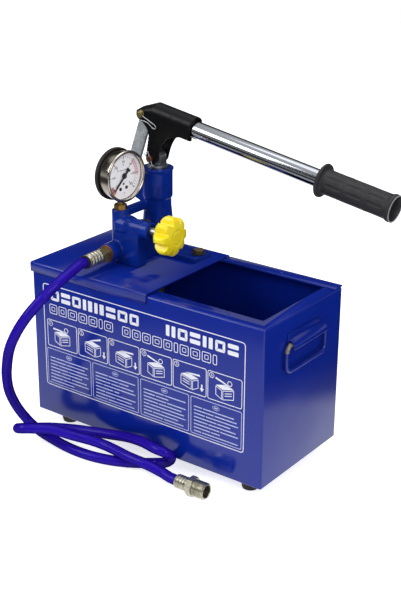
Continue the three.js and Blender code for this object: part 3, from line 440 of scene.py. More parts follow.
toneDrift, fineRelief, edgeHighlight, smallSpecks = toneGroup(), grainGroup(), edgeGroup(), speckGroup()


def finish(name, light, dark, rough=(0.3, 0.45), metallic=0, tone=(60, 0.2), stretch=(1, 1, 1),
           grain=(800, 0.2), depth=0.0002, grainStretch=(1, 1, 1), wave=(15, 0), edgeLight=None, specks=None,
           coat=None, specular=None, sideShade=None):
    material = bpy.data.materials.new(name)
    material.use_nodes = True
    tree = material.node_tree
    shader = tree.nodes["Principled BSDF"]
    drift = add(tree, "Group", {"Light": shade(light), "Dark": shade(dark), "Scale": tone[0],
                                "Contrast": tone[1], "Stretch": stretch}, node_tree=toneDrift)
    color = drift.outputs["Color"]
    if specks:
        spotted = add(tree, "Group", {"Scale": specks[1], "Cover": specks[2]}, node_tree=smallSpecks)
        color = mixed(tree, spotted.outputs["Mask"], color, shade(specks[0]))
    # Painted highlight: the colour is tinted lighter along edges
    if edgeLight:
        wearAndEdgeLight = add(tree, "Group", dict(zip(("Radius", "Amount", "Breakup"), edgeLight[1:])), node_tree=edgeHighlight)
        color = mixed(tree, wearAndEdgeLight.outputs["Mask"], color, shade(edgeLight[0]))
    if sideShade:
        # Painted shade: the colour darkens towards the sides, where the hose turns away from the eye; the
        # coat is glossy only where it faces the eye
        slant = add(tree, "LayerWeight", {"Blend": 0.35}).outputs["Facing"]
        color = mixed(tree, slant, color, shade(sideShade))
        tree.links.new(ranged(tree, slant, coat[0], 0, 0, 0.6), shader.inputs["Coat Weight"])
    tree.links.new(color, shader.inputs["Base Color"])
    relief = add(tree, "Group", {"Scale": grain[0], "Strength": grain[1], "Depth": depth,
                                 "Stretch": grainStretch, "Wave Scale": wave[0], "Wave Depth": wave[1]},
                 node_tree=fineRelief)
    tree.links.new(relief.outputs["Normal"], shader.inputs["Normal"])
    tree.links.new(ranged(tree, drift.outputs["Mask"], rough[1], rough[0]), shader.inputs["Roughness"])
    shader.inputs["Metallic"].default_value = metallic
    if coat and not sideShade:
        shader.inputs["Coat Weight"].default_value = coat[0]
    if coat:
        shader.inputs["Coat Roughness"].default_value = coat[1]
    if specular is not None:
        shader.inputs["Specular IOR Level"].default_value = specular
    return material


# The lighter edge colours given to the paints and metals below are painted edge highlights
tankPaint = finish("tankPaint", "#0b2896", "#072084", (0.11, 0.2), tone=(9, 0.25), grain=(900, 0.12),
                   depth=0.0001, wave=(14, 0.0009), edgeLight=("#2a3468", 0.0008, 2.5, 220),
                   specks=("#2c46b4", 420, 0.05), specular=0.5)
castPaint = finish("castPaint", "#0a2f9a", "#062274", (0.1, 0.18), tone=(45, 0.22), grain=(420, 0.35),
                   depth=0.0004, wave=(90, 0.0006), edgeLight=("#2c4cb0", 0.0012, 1.6, 300), specular=0.2)
leverBlack = finish("leverBlack", "#0e0f12", "#08090b", (0.26, 0.42), 0, tone=(60, 0.25), grain=(650, 0.3),
                    depth=0.0003, wave=(80, 0.0006), edgeLight=("#4a4b50", 0.0009, 1.4, 260), specular=0.16)
bareEdge = finish("bareEdge", "#c8c8c8", "#8a8a8c", (0.3, 0.45), 0.9, tone=(200, 0.3))
wornBeige = finish("wornBeige", "#b3ab97", "#6f6a62", (0.35, 0.5), 0.5, tone=(300, 0.2), grain=(700, 0.25))
softRubber = finish("softRubber", "#1c1c1f", "#101012", (0.6, 0.8), tone=(80, 0.3), grain=(1500, 0.3),
                    depth=0.0002)
gripBlack = finish("gripBlack", "#232329", "#17171c", (0.5, 0.68), tone=(120, 0.3), grain=(1800, 0.35),
                   depth=0.00015)
gripGrey = finish("gripGrey", "#9a9aa2", "#77777e", (0.5, 0.65), tone=(150, 0.3), grain=(1800, 0.3),
                  depth=0.00015)
knobYellow = finish("knobYellow", "#ffee14", "#fbdc08", (0.3, 0.42), tone=(70, 0.3), grain=(900, 0.18),
                    depth=0.0002, wave=(120, 0.0004), coat=(0.25, 0.15))
# Painted shade: the hose's colour is darkened towards its sides
hoseViolet = finish("hoseViolet", "#2e16b2", "#220e92", (0.12, 0.18), tone=(40, 0.3), grain=(500, 0.1),
                    depth=0.0002, wave=(60, 0.0006), coat=(0.24, 0.05), specular=0, sideShade="#160860")
chromePlate = finish("chromePlate", "#aaadb4", "#969aa2", (0.07, 0.16), 1, tone=(30, 0.3),
                     stretch=(0.25, 1, 1), grain=(900, 0.06), depth=0.0001, grainStretch=(0.05, 1, 1))
plainSteel = finish("plainSteel", "#c4c8cc", "#8f9498", (0.28, 0.45), 1, tone=(140, 0.25), grain=(900, 0.15))
galvanised = finish("galvanised", "#ccd2d6", "#9aa2a8", (0.36, 0.6), 0.55, tone=(95, 0.12), grain=(500, 0.25),
                    depth=0.0002, specks=("#dfe4e8", 160, 0.16), edgeLight=("#e6e9ec", 0.001, 1.5, 150))
stainlessCase = finish("stainlessCase", "#cfc8be", "#b0a698", (0.1, 0.2), 1, tone=(60, 0.3),
                       grain=(700, 0.08), depth=0.0001)
oliveZinc = finish("oliveZinc", "#b5a66c", "#7d7347", (0.28, 0.48), 0.9, tone=(160, 0.18), grain=(700, 0.2),
                   edgeLight=("#d8cfa4", 0.0006, 2.0, 400))
silverZinc = finish("silverZinc", "#cdcabc", "#9c9784", (0.25, 0.42), 1, tone=(150, 0.2), grain=(800, 0.15),
                    edgeLight=("#e6e4da", 0.0006, 2.0, 400))
brownZinc = finish("brownZinc", "#8c7a5c", "#5c4c38", (0.35, 0.55), 0.8, tone=(180, 0.2), grain=(700, 0.25))
warmBrass = finish("warmBrass", "#c8a45e", "#93713a", (0.25, 0.42), 1, tone=(150, 0.22), grain=(800, 0.15),
                   edgeLight=("#e2c88a", 0.0006, 2.0, 400))
softCopper = finish("softCopper", "#b97c66", "#8c5848", (0.3, 0.45), 0.95, tone=(200, 0.25),
                    grain=(700, 0.15))
dialWhite = finish("dialWhite", "#fffdff", "#f8f5fe", (0.45, 0.55), tone=(60, 0.3), grain=(900, 0.05))
dialPink = finish("dialPink", "#f3c9d6", "#eec0cf", (0.45, 0.55), tone=(80, 0.3), grain=(900, 0.05))
dialRed = finish("dialRed", "#c98a96", "#b87682", (0.45, 0.55), tone=(80, 0.3), grain=(900, 0.05))
dialInk = finish("dialInk", "#1c1c24", "#121218", (0.4, 0.55), tone=(300, 0.3), grain=(1500, 0.05))
panelInk = finish("panelInk", "#f0f1fa", "#dfe2f2", (0.4, 0.55), tone=(120, 0.3), grain=(1500, 0.1))
panelFaint = finish("panelFaint", "#c3c9ea", "#a5addd", (0.4, 0.55), tone=(260, 0.2), grain=(1500, 0.1))

glass = {"bend": 1.45, "smear": 120, "rough": (0.01, 0.05), "tint": (0.98, 0.99, 1, 1)}


def clearGlass():
    material = bpy.data.materials.new("clearGlass")
    material.use_nodes = True
    tree = material.node_tree
    shader = tree.nodes["Principled BSDF"]
    shader.inputs["Transmission Weight"].default_value = 1
    shader.inputs["IOR"].default_value = glass["bend"]
    smear = add(tree, "Group", {"Scale": glass["smear"]}, node_tree=toneDrift).outputs["Mask"]
    tree.links.new(ranged(tree, smear, *glass["rough"]), shader.inputs["Roughness"])
    tree.links.new(mixed(tree, smear, glass["tint"], (1, 1, 1, 1)), shader.inputs["Base Color"])
    clear = add(tree, "BsdfTransparent")
    path = add(tree, "LightPath")
    mix = add(tree, "MixShader", {0: path.outputs["Is Shadow Ray"], 1: shader.outputs[0],
                                  2: clear.outputs[0]})
    tree.links.new(mix.outputs[0], tree.nodes["Material Output"].inputs["Surface"])
    return material


glassClear = clearGlass()
print("finishes made:", len(bpy.data.materials))

studio = {
    "floor": 6.0, "pale": 0.9, "lift": 0.7, "sky": 0.52, "aim": (0, 0, 0.2),
    # What polished faces mirror: a lit stretch of floor that ends in the dark, and a dark band of sky
    "mirrored": 1.3, "across": (0.6, 0.8, 0), "stretch": (-1, 0.7),
    "floorLevels": ((0, 0.04), (0.147, 0.11), (0.235, 0.5), (0.53, 0.85), (0.65, 0.86), (0.735, 0.7),
                    (0.765, 0.12), (0.82, 0.01), (1, 0)),
    "skyLevels": ((0, 0.45), (0.1, 0.25), (0.2, 0.04), (0.3, 0.02), (0.55, 0.02), (0.7, 0.65), (0.85, 0.9)),
    "lamps": (("key", (-1.3, -1.5, 1.5), 1.2, 23), ("fill", (1.3, -0.7, 1.0), 0.8, 7.5),
              ("top", (0.1, 0.3, 2.1), 1.4, 10)),
}


def paint(ramp, stops):
    # Grey levels along a colour ramp, which starts with two stops of its own
    for index, (place, level) in enumerate(stops):
        if index < 2:
            ramp.elements[index].position = place
        stop = ramp.elements[index] if index < 2 else ramp.elements.new(place)
        stop.color = (level, level, level, 1)


def buildFloor():
    part = bmesh.new()
    bmesh.ops.create_grid(part, x_segments=1, y_segments=1, size=studio["floor"] / 2)
    mesh = bpy.data.meshes.new("floor")
    part.to_mesh(mesh)
    part.free()
    floor = bpy.data.objects.new("floor", mesh)
    scene.collection.objects.link(floor)
    material = bpy.data.materials.new("paleFloor")
    material.use_nodes = True
    tree = material.node_tree
    tree.nodes.remove(tree.nodes["Principled BSDF"])
    path = add(tree, "LightPath").outputs
    matt = add(tree, "BsdfDiffuse", {"Color": mixed(tree, path["Is Glossy Ray"], (studio["pale"],) * 3 + (1,),
                                                    (0, 0, 0, 1))})
    seen = worked(tree, "MULTIPLY", path["Is Camera Ray"], studio["lift"])
    spot = add(tree, "TexCoord")
    along = add(tree, "VectorMath", {0: spot.outputs["Object"], 1: studio["across"]}, operation="DOT_PRODUCT")
    lit = add(tree, "ValToRGB", {"Fac": ranged(tree, along.outputs["Value"], 0, 1, *studio["stretch"])})
    paint(lit.color_ramp, studio["floorLevels"])
    shown = worked(tree, "MULTIPLY", worked(tree, "MULTIPLY", path["Is Glossy Ray"], studio["mirrored"]),
                   lit.outputs["Color"])
    glow = add(tree, "Emission", {"Color": (1, 1, 1, 1), "Strength": worked(tree, "ADD", seen, shown)})
    both = add(tree, "AddShader", {0: matt.outputs[0], 1: glow.outputs[0]})
    tree.links.new(both.outputs[0], tree.nodes["Material Output"].inputs["Surface"])
    mesh.materials.append(material)


def buildSky():
    world = bpy.data.worlds.new("studio")
    scene.world = world
    world.use_nodes = True
    tree = world.node_tree
    tree.nodes.clear()
    path = add(tree, "LightPath").outputs
    spot = add(tree, "TexCoord")
    split = add(tree, "SeparateXYZ", {0: spot.outputs["Generated"]})
    band = add(tree, "ValToRGB", {"Fac": split.outputs["Z"]})
    paint(band.color_ramp, studio["skyLevels"])
    mirrored = mixed(tree, path["Is Glossy Ray"], (studio["sky"],) * 3 + (1,), band.outputs["Color"])
    straight = worked(tree, "MAXIMUM", path["Is Camera Ray"], path["Is Transmission Ray"])
    glow = add(tree, "Background", {"Color": mixed(tree, straight, mirrored, (1, 1, 1, 1)), "Strength": 1})
    tree.links.new(glow.outputs[0], add(tree, "OutputWorld").inputs["Surface"])


def buildLamps():
    for name, place, size, power in studio["lamps"]:
        lamp = bpy.data.lights.new(name, "AREA")
        lamp.energy = power
        lamp.size = size
        holder = bpy.data.objects.new(name, lamp)
        aim = Vector(studio["aim"]) - Vector(place)
        holder.matrix_world = Matrix.Translation(place) @ aim.to_track_quat("-Z", "Y").to_matrix().to_4x4()
        scene.collection.objects.link(holder)


buildFloor()
buildSky()
buildLamps()
print("studio set")

hose = {
    "radius": 6.5, "rings": 6, "end": (0, -30, -6.9),
    "route": [
        (87.6, 3.8, 223.5), (87.6, -8, 223.4), (87.3, -26, 218), (84, -50, 207), (76, -71, 190),
        (63, -86, 166), (46, -90, 134), (23.8, -77.1, 92), (13.1, -67.2, 70), (6.9, -59, 51),
        (3.6, -49.4, 32), (2.8, -38.6, 13), (7.4, -29.8, -3), (16.8, -28, -10), (31, -31.8, -11.4),
        (52.9, -36.5, -11.4),
        (92.5, -42.4, -11.4), (125, -41.5, -11.4), (152.2, -35.1, -11.4), (173.4, -25.9, -11.4),
        (189.2, -16.1, -11.4), (203.5, -7.5, -10.4), (217, -7.7, -5), (226.5, -9.4, 2.6), (230, -14, 11),
        (226.1, -19.7, 17.3), (214.1, -21.5, 19), (189.7, -16.2, 17.8), (162, -11.6, 13.5), (132.7, -11.6, 8),
        (103.1, -15.8, 4.5), (75.9, -23.3, 2.5), (52.7, -35.5, 2.2), (34.3, -51, 2.6), (29, -62, 5.2),
        (32.9, -72.6, 10.6), (43.6, -76.6, 15.4), (55, -71.7, 17), (73.5, -57.1, 15.5), (84.8, -51.1, 13.5),
        (97, -46.2, 11), (107.6, -39.7, 8), (119.1, -34, 5.5), (132.3, -30.4, 3.5), (142.8, -29.4, 2.6),
        (160.5, -30.7, 2.2), (180.1, -33.2, 2), (208.3, -32.5, 0.5), (228.7, -29.2, -4.5), (243, -30, -6.9),
        (253, -30, -6.9),
    ],
}
endFrame = tankFrame @ shift(*hose["end"]) @ alongX


def buildHose():
    line = smoothLine(hose["route"], hose["rings"])
    form = bmesh.new()
    wired(form, line, hose["radius"], tankFrame, resolution=6)
    tube = finished(form, "deliveryHose", hoseViolet, "hose_plastic", "delivery_hose")
    buildOutletFerrule()
    buildEndFitting()


ribs = {"bore": 6.6, "radius": 8.8, "groove": 7.5, "count": 4, "outlet": (253.3, 271.3), "inlet": (4.1, 28.1)}


def ribbed(name, span, place, slotName, node):
    bore, radius, groove = ribs["bore"], ribs["radius"], ribs["groove"]
    low, high = span
    pitch = (high - low) / (2 * ribs["count"] + 1)
    profile = [(bore, low), (radius - 0.6, low, 0.3), (radius - 0.3, low + pitch * 0.5, 0.4)]
    for rib in range(ribs["count"]):
        start = low + pitch * (2 * rib + 1)
        profile += [(radius, start - 0.2, 0.5), (groove, start + pitch * 0.35, 0.4),
                    (groove, start + pitch * 0.65, 0.4), (radius, start + pitch + 0.2, 0.5)]
    profile += [(radius - 0.2, high, 0.4), (bore, high)]
    return lathed(name, profile, place, 40, silverZinc, slotName, node)


def buildOutletFerrule():
    return ribbed("outletFerrule", ribs["outlet"], endFrame, "zinc", "outlet_ferrule")


ending = {"hex": 11, "hexLow": 271.6, "hexHigh": 279.6, "waterway": 4, "thread": 10.4, "threadEnd": 296.6,
          "depth": 1.2, "turns": 8, "neck": 1.4, "bore": 7.6}


def buildEndFitting():
    form = bmesh.new()
    hexed(form, endFrame, ending["hex"], ending["hexLow"], ending["hexHigh"], bore=ending["waterway"])
    low, high, radius = ending["hexHigh"], ending["threadEnd"], ending["thread"]
    bore, neck = ending["bore"], ending["neck"]
    root = radius - ending["depth"]
    profile = [(bore, low - 0.4), (radius - neck, low - 0.4), (radius - neck, low + neck)]
    pitch = (high - low - neck - 1) / ending["turns"]
    for ridge in range(ending["turns"]):
        start = low + neck + pitch * ridge
        profile += [(root, start + pitch * 0.1), (radius, start + pitch * 0.45, 0.15),
                    (radius, start + pitch * 0.6, 0.15), (root, start + pitch * 0.95)]
    profile += [(radius - 1.1, high - 0.6), (radius - 1.8, high, 0.2), (bore + 0.6, high, 0.2),
                (bore, high - 0.8)]
    spun(form, profile, endFrame, 48)
    return finished(form, "endFitting", silverZinc, "zinc", "end_fitting")


buildHose()

inlet = {"washer": collar(6.4, 11, 40.7, 42.7, 0.5), "hex": (8.7, 28.4, 40.4), "bore": 3, "chamfer": 0.9,
         "stem": [(3, 40.2), (6, 40.2), (6, 54, 0.4), (3, 54)], "ring": collar(6.9, 8.4, 1.2, 3.9, 0.4)}


def buildInlet():
    place = outletFrame @ alongY
    lathed("outletWasher", inlet["washer"], place, 40, softCopper, "copper", "outlet_washer")
    form = bmesh.new()
    hexed(form, place, *inlet["hex"], bore=inlet["bore"], chamfer=inlet["chamfer"])
    spun(form, inlet["stem"], place, 32)
    finished(form, "hoseNipple", oliveZinc, "zinc", "hose_nipple")
    ribbed("inletFerrule", ribs["inlet"], place, "steel", "inlet_ferrule")
    lathed("ferruleRing", inlet["ring"], place, 40, softRubber, None)


buildInlet()
print("fittings made")

tank = {"length": 352, "width": 168, "height": 203, "sheet": 1.5, "inset": 5, "frontRim": 22, "rearRim": 16,
        "endRim": 17, "fold": 2.4, "foldSteps": 4}


def buildTank():
    size = Vector((tank["length"], tank["width"], tank["height"]))
    part = block((0, 0, 0), size)
    top = max(part.faces, key=lambda face: face.calc_center_median().z)
    bmesh.ops.inset_region(part, faces=[top], thickness=tank["inset"])
    low = Vector((tank["endRim"], tank["frontRim"]))
    high = Vector((size.x - tank["endRim"], size.y - tank["rearRim"]))
    for corner in top.verts:
        corner.co.x = low.x if corner.co.x < size.x / 2 else high.x
        corner.co.y = low.y if corner.co.y < size.y / 2 else high.y
    bmesh.ops.delete(part, geom=[top], context="FACES_ONLY")
    folds = [edge for edge in part.edges if len(edge.link_faces) == 2
             and abs(edge.link_faces[0].normal.dot(edge.link_faces[1].normal)) < 0.5]
    rounding(part, folds, tank["fold"], tank["foldSteps"])
    form = bmesh.new()
    take(form, part, tankFrame)
    if min(form.faces, key=lambda face: face.calc_center_median().z).normal.z > 0:
        bmesh.ops.reverse_faces(form, faces=form.faces)
    shell = finished(form, "tankShell", tankPaint, "tank_paint", "tank_wrap", "tank_end_left",
                     "tank_end_right")
    sheeted(shell, tank["sheet"])


buildTank()

lid = {"low": -2.3, "right": 184, "rear": 170.3, "top": 206.3, "lip": 12.5, "leftLip": 9, "sheet": 2.4,
       "fold": 2.2}


def buildLid():
    part = block((lid["low"], lid["low"], lid["top"] - lid["lip"]), (lid["right"], lid["rear"], lid["top"]))
    openFaces = [face for face in part.faces if face.normal.z < -0.5 or face.normal.x > 0.5]
    bmesh.ops.delete(part, geom=openFaces, context="FACES_ONLY")
    rounding(part, [edge for edge in part.edges if len(edge.link_faces) == 2], lid["fold"], tank["foldSteps"])
    cut = lid["top"] - lid["leftLip"]
    left = [face for face in part.faces if face.normal.x < -0.9]
    edges = {edge for face in left for edge in face.edges}
    corners = {corner for face in left for corner in face.verts}
    bmesh.ops.bisect_plane(part, geom=[*left, *edges, *corners], plane_co=(0, 0, cut), plane_no=(0, 0, 1))
    lower = [face for face in part.faces if face.normal.x < -0.9 and face.calc_center_median().z < cut]
    bmesh.ops.delete(part, geom=lower, context="FACES")
    form = bmesh.new()
    take(form, part, tankFrame)
    if max(form.faces, key=lambda face: face.calc_center_median().z).normal.z < 0:
        bmesh.ops.reverse_faces(form, faces=form.faces)
    sheeted(finished(form, "lidCover", tankPaint, "tank_paint", "lid_plate"), lid["sheet"])


buildLid()

rim = {"lap": ((186, 151.2, 203.1), (351.5, 169, 204.9)), "rivets": ((294, 11.2, 203), (270, 160, 204.9)),
       "rivet": [(0, 0.5), (1.6, 0.45, 0.4), (2.2, 0.02), (2.2, -0.2), (0, -0.2)]}


def buildRimDetails():
    # The rear rim is lapped by a second strip beside the lid
    form = bmesh.new()
    boxed(form, *rim["lap"], tankFrame, 0.5)
    finished(form, "rimLap", tankPaint, "tank_paint")
    form = bmesh.new()
    for spot in rim["rivets"]:
        spun(form, rim["rivet"], tankFrame @ shift(*spot), 24)
    finished(form, "rimRivets", tankPaint, "tank_paint")


buildRimDetails()

feet = {
    "places": [(x, y) for x in (32, 320) for y in (26.5, 141.5)],
    "names": ("front_left", "front_right", "rear_left", "rear_right"),
    "rubber": [(2.9, -10.3), (5.5, -10.3), (5.5, -18.3, 0.6), (10, -18.3, 1.2), (13, -0.3, 1), (2.9, -0.3)],
    "screw": [(0, -13.1), (1.4, -13.1), (1.4, -13.7, 0.2), (4.2, -13.8, 0.8), (4.8, -10.6, 0.2), (2.5, -10.6),
              (2.5, 5.4, 0.3), (0, 5.4)],
}


def buildFeet():
    rubber, screws = bmesh.new(), bmesh.new()
    for x, y in feet["places"]:
        place = tankFrame @ shift(x, y)
        spun(rubber, feet["rubber"], place, 40)
        spun(screws, feet["screw"], place, 28)
    finished(rubber, "rubberFeet", softRubber, "black_rubber", *("foot_" + name for name in feet["names"]))
    finished(screws, "footScrews", plainSteel, "steel", *("foot_screw_" + name for name in feet["names"]))


buildFeet()

hood = {"from": 46.5, "to": 117.5, "top": 183, "flange": 6, "drop": 10.5, "reach": 11, "sheet": 1.5,
        "gap": 0.3, "edge": 0.3, "lipInset": 0.5}


def buildHood():
    wall, sheet, reach = tank["length"] + hood["gap"], hood["sheet"], hood["reach"]
    face = wall + sheet
    top = hood["top"] - hood["flange"]
    low = top - hood["drop"]
    quarter = arc(0, 0, 1, 90, -1, -9)
    outline = [(wall, hood["top"]), (face, hood["top"])]
    outline += [(face + (reach - sheet) * x, low + (top - low) * z) for x, z in quarter]
    outline += [(face + (reach - 2 * sheet) * x, low + (top - low - sheet) * z) for x, z in reversed(quarter)]
    outline += [(face, low), (wall, low)]
    form = bmesh.new()
    prism(form, outline, hood["from"], hood["to"], tankFrame, hood["edge"])
    finished(form, "handleHood", tankPaint, "tank_paint", "handle_strap", angle=50)
    form = bmesh.new()
    ends = (hood["from"] + hood["lipInset"], hood["to"] - hood["lipInset"])
    wired(form, [(wall + reach - sheet / 2, y, low) for y in ends], sheet / 2, tankFrame)
    finished(form, "hoodLip", bareEdge, "steel")


buildHood()

bail = {"wire": 2.5, "span": 84, "hang": 33, "bend": 9, "stub": 24, "centre": 82, "x": 356.7, "z": 170.5,
        "wearAndEdgeLight": 0.06, "wornPast": 2}


def buildBail():
    half, bend, hang = bail["span"] / 2, bail["bend"], bail["hang"]
    side = [(half - bail["stub"], 0), (half - bend, 0)]
    side += arc(half - bend, -bend, bend, 75, -1, -15) + arc(half - bend, bend - hang, bend, 0, -91, -15)
    points = side + [(0, -hang)] + [(-y, z) for y, z in reversed(side)]
    line = smoothLine([(bail["x"], bail["centre"] + y, bail["z"] + z) for y, z in points], 3)
    form = bmesh.new()
    wired(form, line, bail["wire"], tankFrame, resolution=5)
    finished(form, "carryBail", tankPaint, "tank_paint", "handle_bail", body="bail")
    # Paint is worn off the front upper corner
    limit = bail["centre"] - half + bend + bail["wornPast"]
    near = [point for point in line if point.y < limit and point.z > bail["z"] - bend]
    form = bmesh.new()
    wired(form, near, bail["wire"] + bail["wearAndEdgeLight"], tankFrame, resolution=5)
    finished(form, "bailWear", wornBeige, "tank_paint", body="bail")


buildBail()
print("tank built")

panel = {
    "sunk": 0.02, "proud": 0.14, "frame": (17, 327, 41, 181.5, 5), "line": 1.1, "box": 0.9,
    # The upper row's figures: width, and 0 a frame, 1 lying bars, 2 standing bars, 9 a gap
    "upperRow": ((14, 0), (15, 1), (14, 0), (15, 2), (15, 2), (15, 1), (15, 0), (14, 0), (34, 9), (14, 2),
                 (14, 0), (15, 1), (14, 2), (14, 0), (15, 1)),
    "upperLeft": 30, "upperLow": 161, "upperHigh": 175, "upperGap": 3.6,
    "lowerRow": (13, 13, 15, 14, 14, 6, 14, 24, 13, 13, 13, 14, 13, 6, 13, 14, 13, 6),
    "lowerLeft": 27, "lowerLow": 142.5, "lowerHigh": 155.5, "lowerGap": 2.6, "lowerBlank": 24,
    "lowerSkip": 12,
    "pictures": ((22, 72), (74, 122), (123.5, 172.5), (174, 222), (223.5, 273), (274.5, 323.5)),
    "barred": ((20, 94), (96.5, 170.5), (173.5, 247.5), (250, 323.7)), "shortBy": (0, 6, 2, 0, 11, 3, 0, 26),
}


def inked(form, outline, width=0):
    part = bmesh.new()
    face = part.faces.new([part.verts.new((x, -panel["sunk"], z)) for x, z in softened(outline)])
    kept = [face]
    face.normal_update()
    if width:
        kept = bmesh.ops.inset_region(part, faces=[face], thickness=width, use_even_offset=True,
                                      use_boundary=True)["faces"]
        bmesh.ops.delete(part, geom=[face], context="FACES_ONLY")
    grown = bmesh.ops.extrude_face_region(part, geom=kept)["geom"]
    far = [item for item in grown if isinstance(item, bmesh.types.BMVert)]
    bmesh.ops.translate(part, vec=(0, panel["sunk"] - panel["proud"], 0), verts=far)
    take(form, part, tankFrame)


def oblong(x0, x1, z0, z1, corner):
    return [(x0, z0, corner), (x1, z0, corner), (x1, z1, corner), (x0, z1, corner)]


def drawUpperRow(form):
    x, low, high = (panel[key] for key in ("upperLeft", "upperLow", "upperHigh"))
    for width, kind in panel["upperRow"]:
        if kind == 0:
            inked(form, oblong(x, x + width, low, high, 2.5), 3.6)
        elif kind == 1:
            inked(form, oblong(x, x + width, high - 5.5, high, 1.5))
            inked(form, oblong(x, x + width, low, low + 5.5, 1.5))
        elif kind == 2:
            inked(form, oblong(x, x + 5.2, low, high, 1))
            inked(form, oblong(x + 8.4, x + width, low, high, 1))
        x += width + panel["upperGap"]


def drawLowerRow(form):
    x, low, high = (panel[key] for key in ("lowerLeft", "lowerLow", "lowerHigh"))
    for width in panel["lowerRow"]:
        if width == panel["lowerBlank"]:
            x += panel["lowerSkip"]
            continue
        inked(form, oblong(x, x + width, low, high, 2.4), 0.9)
        if width > 10:
            inked(form, oblong(x + 3.6, x + width - 3.6, low + 3.6, high - 3.6, 1.2), 0.7)
        x += width + panel["lowerGap"]


symbol = {
    "leans": (-1, 1, 1, -1, 1, -1), "line": 0.8, "tips": ((15, 8), (13, 12.5)), "dialled": (0, 3, 5),
    "sides": [[(-13, -9), (3, -13), (3, -1), (-13, 3)], [(4, -13), (13, -8.5), (13, 3), (4, -1)]],
    "bars": [[(-13, 4), (3, 0.2), (13, 4), (-3, 8)], [(-10, -5), (0, -7.5), (0, -6.5), (-10, -4)],
             [(-10, -2), (0, -4.5), (0, -3.5), (-10, -1)]],
    "arrow": [(17, -2), (19, -2), (19, -7), (21, -7), (18, -11.5), (15, -7), (17, -7)],
}


def drawSymbol(form, x, z, index):
    # A plain tank with a lever, and a disc or an arrow beside it
    lean = symbol["leans"][index]
    tipX, tipZ = symbol["tips"][index % 2]
    drawn = [*symbol["bars"], [(-5, 6.6), (-4, 8.4), (tipX - 0.5, tipZ + 1.6), (tipX + 0.5, tipZ - 0.6)]]
    if index not in symbol["dialled"]:
        drawn.append(symbol["arrow"])
    for shapes, width in ((symbol["sides"], symbol["line"]), (drawn, 0)):
        for points in shapes:
            inked(form, [(x + lean * across, z + up) for across, up in points], width)
    if index in symbol["dialled"]:
        inked(form, arc(x - lean * 7, z + 10.5, 3.4, 0, 360, 18), 0.9)


def drawPictures(form):
    # Six picture boxes with a numbered disc and a plain symbol
    for index, (x0, x1) in enumerate(panel["pictures"]):
        x, z = x0 + 5.8, 128.5
        inked(form, oblong(x0, x1, 97, 134, 3), panel["box"])
        inked(form, arc(x, z, 3.6, 0, 360, 18), 0.7)
        numeral(form, str(index + 1), 5.6, 0.12, tankFrame @ shift(x, -0.08, z) @ turn(90, "X"))
        drawSymbol(form, (x0 + x1) / 2, 114, index)


def drawBarred(form):
    # Four boxes with rows of plain bars
    for index, (x0, x1) in enumerate(panel["barred"]):
        inked(form, oblong(x0, x1, 44.5, 93.5, 2.5), panel["box"])
        middle = (x0 + x1) / 2
        inked(form, [(middle + 5 * x, 87.3 + 3.1 * z) for x, z in arc(0, 0, 1, 0, 360, 18)], 0.6)
        inked(form, oblong(middle - 2.6, middle + 2.6, 86.4, 88.2, 0.4))
        for line in range(8):
            z = 80.4 - line * 4.6
            cut = x0 + 14 + (line * 17 + index * 11) % 30
            end = x1 - 5 - panel["shortBy"][(line + index * 3) % 8]
            inked(form, oblong(x0 + 5, cut, z, z + 1.4, 0.4))
            inked(form, oblong(cut + 1.4, end, z, z + 1.4, 0.4))


def buildPanel():
    form = bmesh.new()
    inked(form, oblong(*panel["frame"]), panel["line"])
    drawUpperRow(form)
    drawLowerRow(form)
    drawPictures(form)
    finished(form, "panelTitles", panelInk, None)
    form = bmesh.new()
    drawBarred(form)
    finished(form, "panelText", panelFaint, None)


buildPanel()
print("panel printed")

casting = {
    "voxel": 0.001, "passes": 7, "half": 17.5, "lugHalf": 8.5, "slotHalf": 3, "lug": (-49.79, 82.68),
    "eye": 9.5, "slot": 14.4, "lugRoot": [(-8.75, 56.5), (-8.75, 92.2)],
    "foot": [(-55, 0), (73, 0), (73, 7, 0.8), (-55, 7, 0.8)],
    "barrel": [(0, 0), (23.5, 0), (23, 7), (21.4, 20), (17.6, 60), (17.5, 70.7, 1), (19.2, 71.5, 0.8),
               (19.2, 106.9), (20.6, 107), (20.6, 109.8), (0, 109.8)],
    "tower": [(0, 8), (11.2, 8), (11, 68, 0.6), (0, 68)], "outlet": (-9.4, -90, 17.2),
    "outletArm": [(0, 0), (11.6, 0), (12.4, 22), (13, 27.5), (0, 30)],
    "valveArm": [(0, -9.4), (13.5, -9.4), (13.5, 5), (11.2, 13), (11, 39.1, 0.6), (0, 39.1)],
    "blocks": (((-5.7, -73.5, 0), (26, -54, 47), 2), ((-14.4, -62.5, 56.5), (-4.4, 0, 67.5), 1.5),
               ((-5.7, -62.5, 0), (14.3, 0, 24), 2)),
    "riser": [(0, 0), (11.8, 0), (11.2, 38.4, 0.8), (0, 38.4)], "riserAt": (4.3, -34),
    "barrelBore": [(0, 14), (10.5, 14), (10.5, 94.5), (14.05, 94.5), (14.05, 113), (0, 113)],
}
towerFrame = pumpFrame @ shift(*tower)
riserFrame = pumpFrame @ shift(*casting["riserAt"])


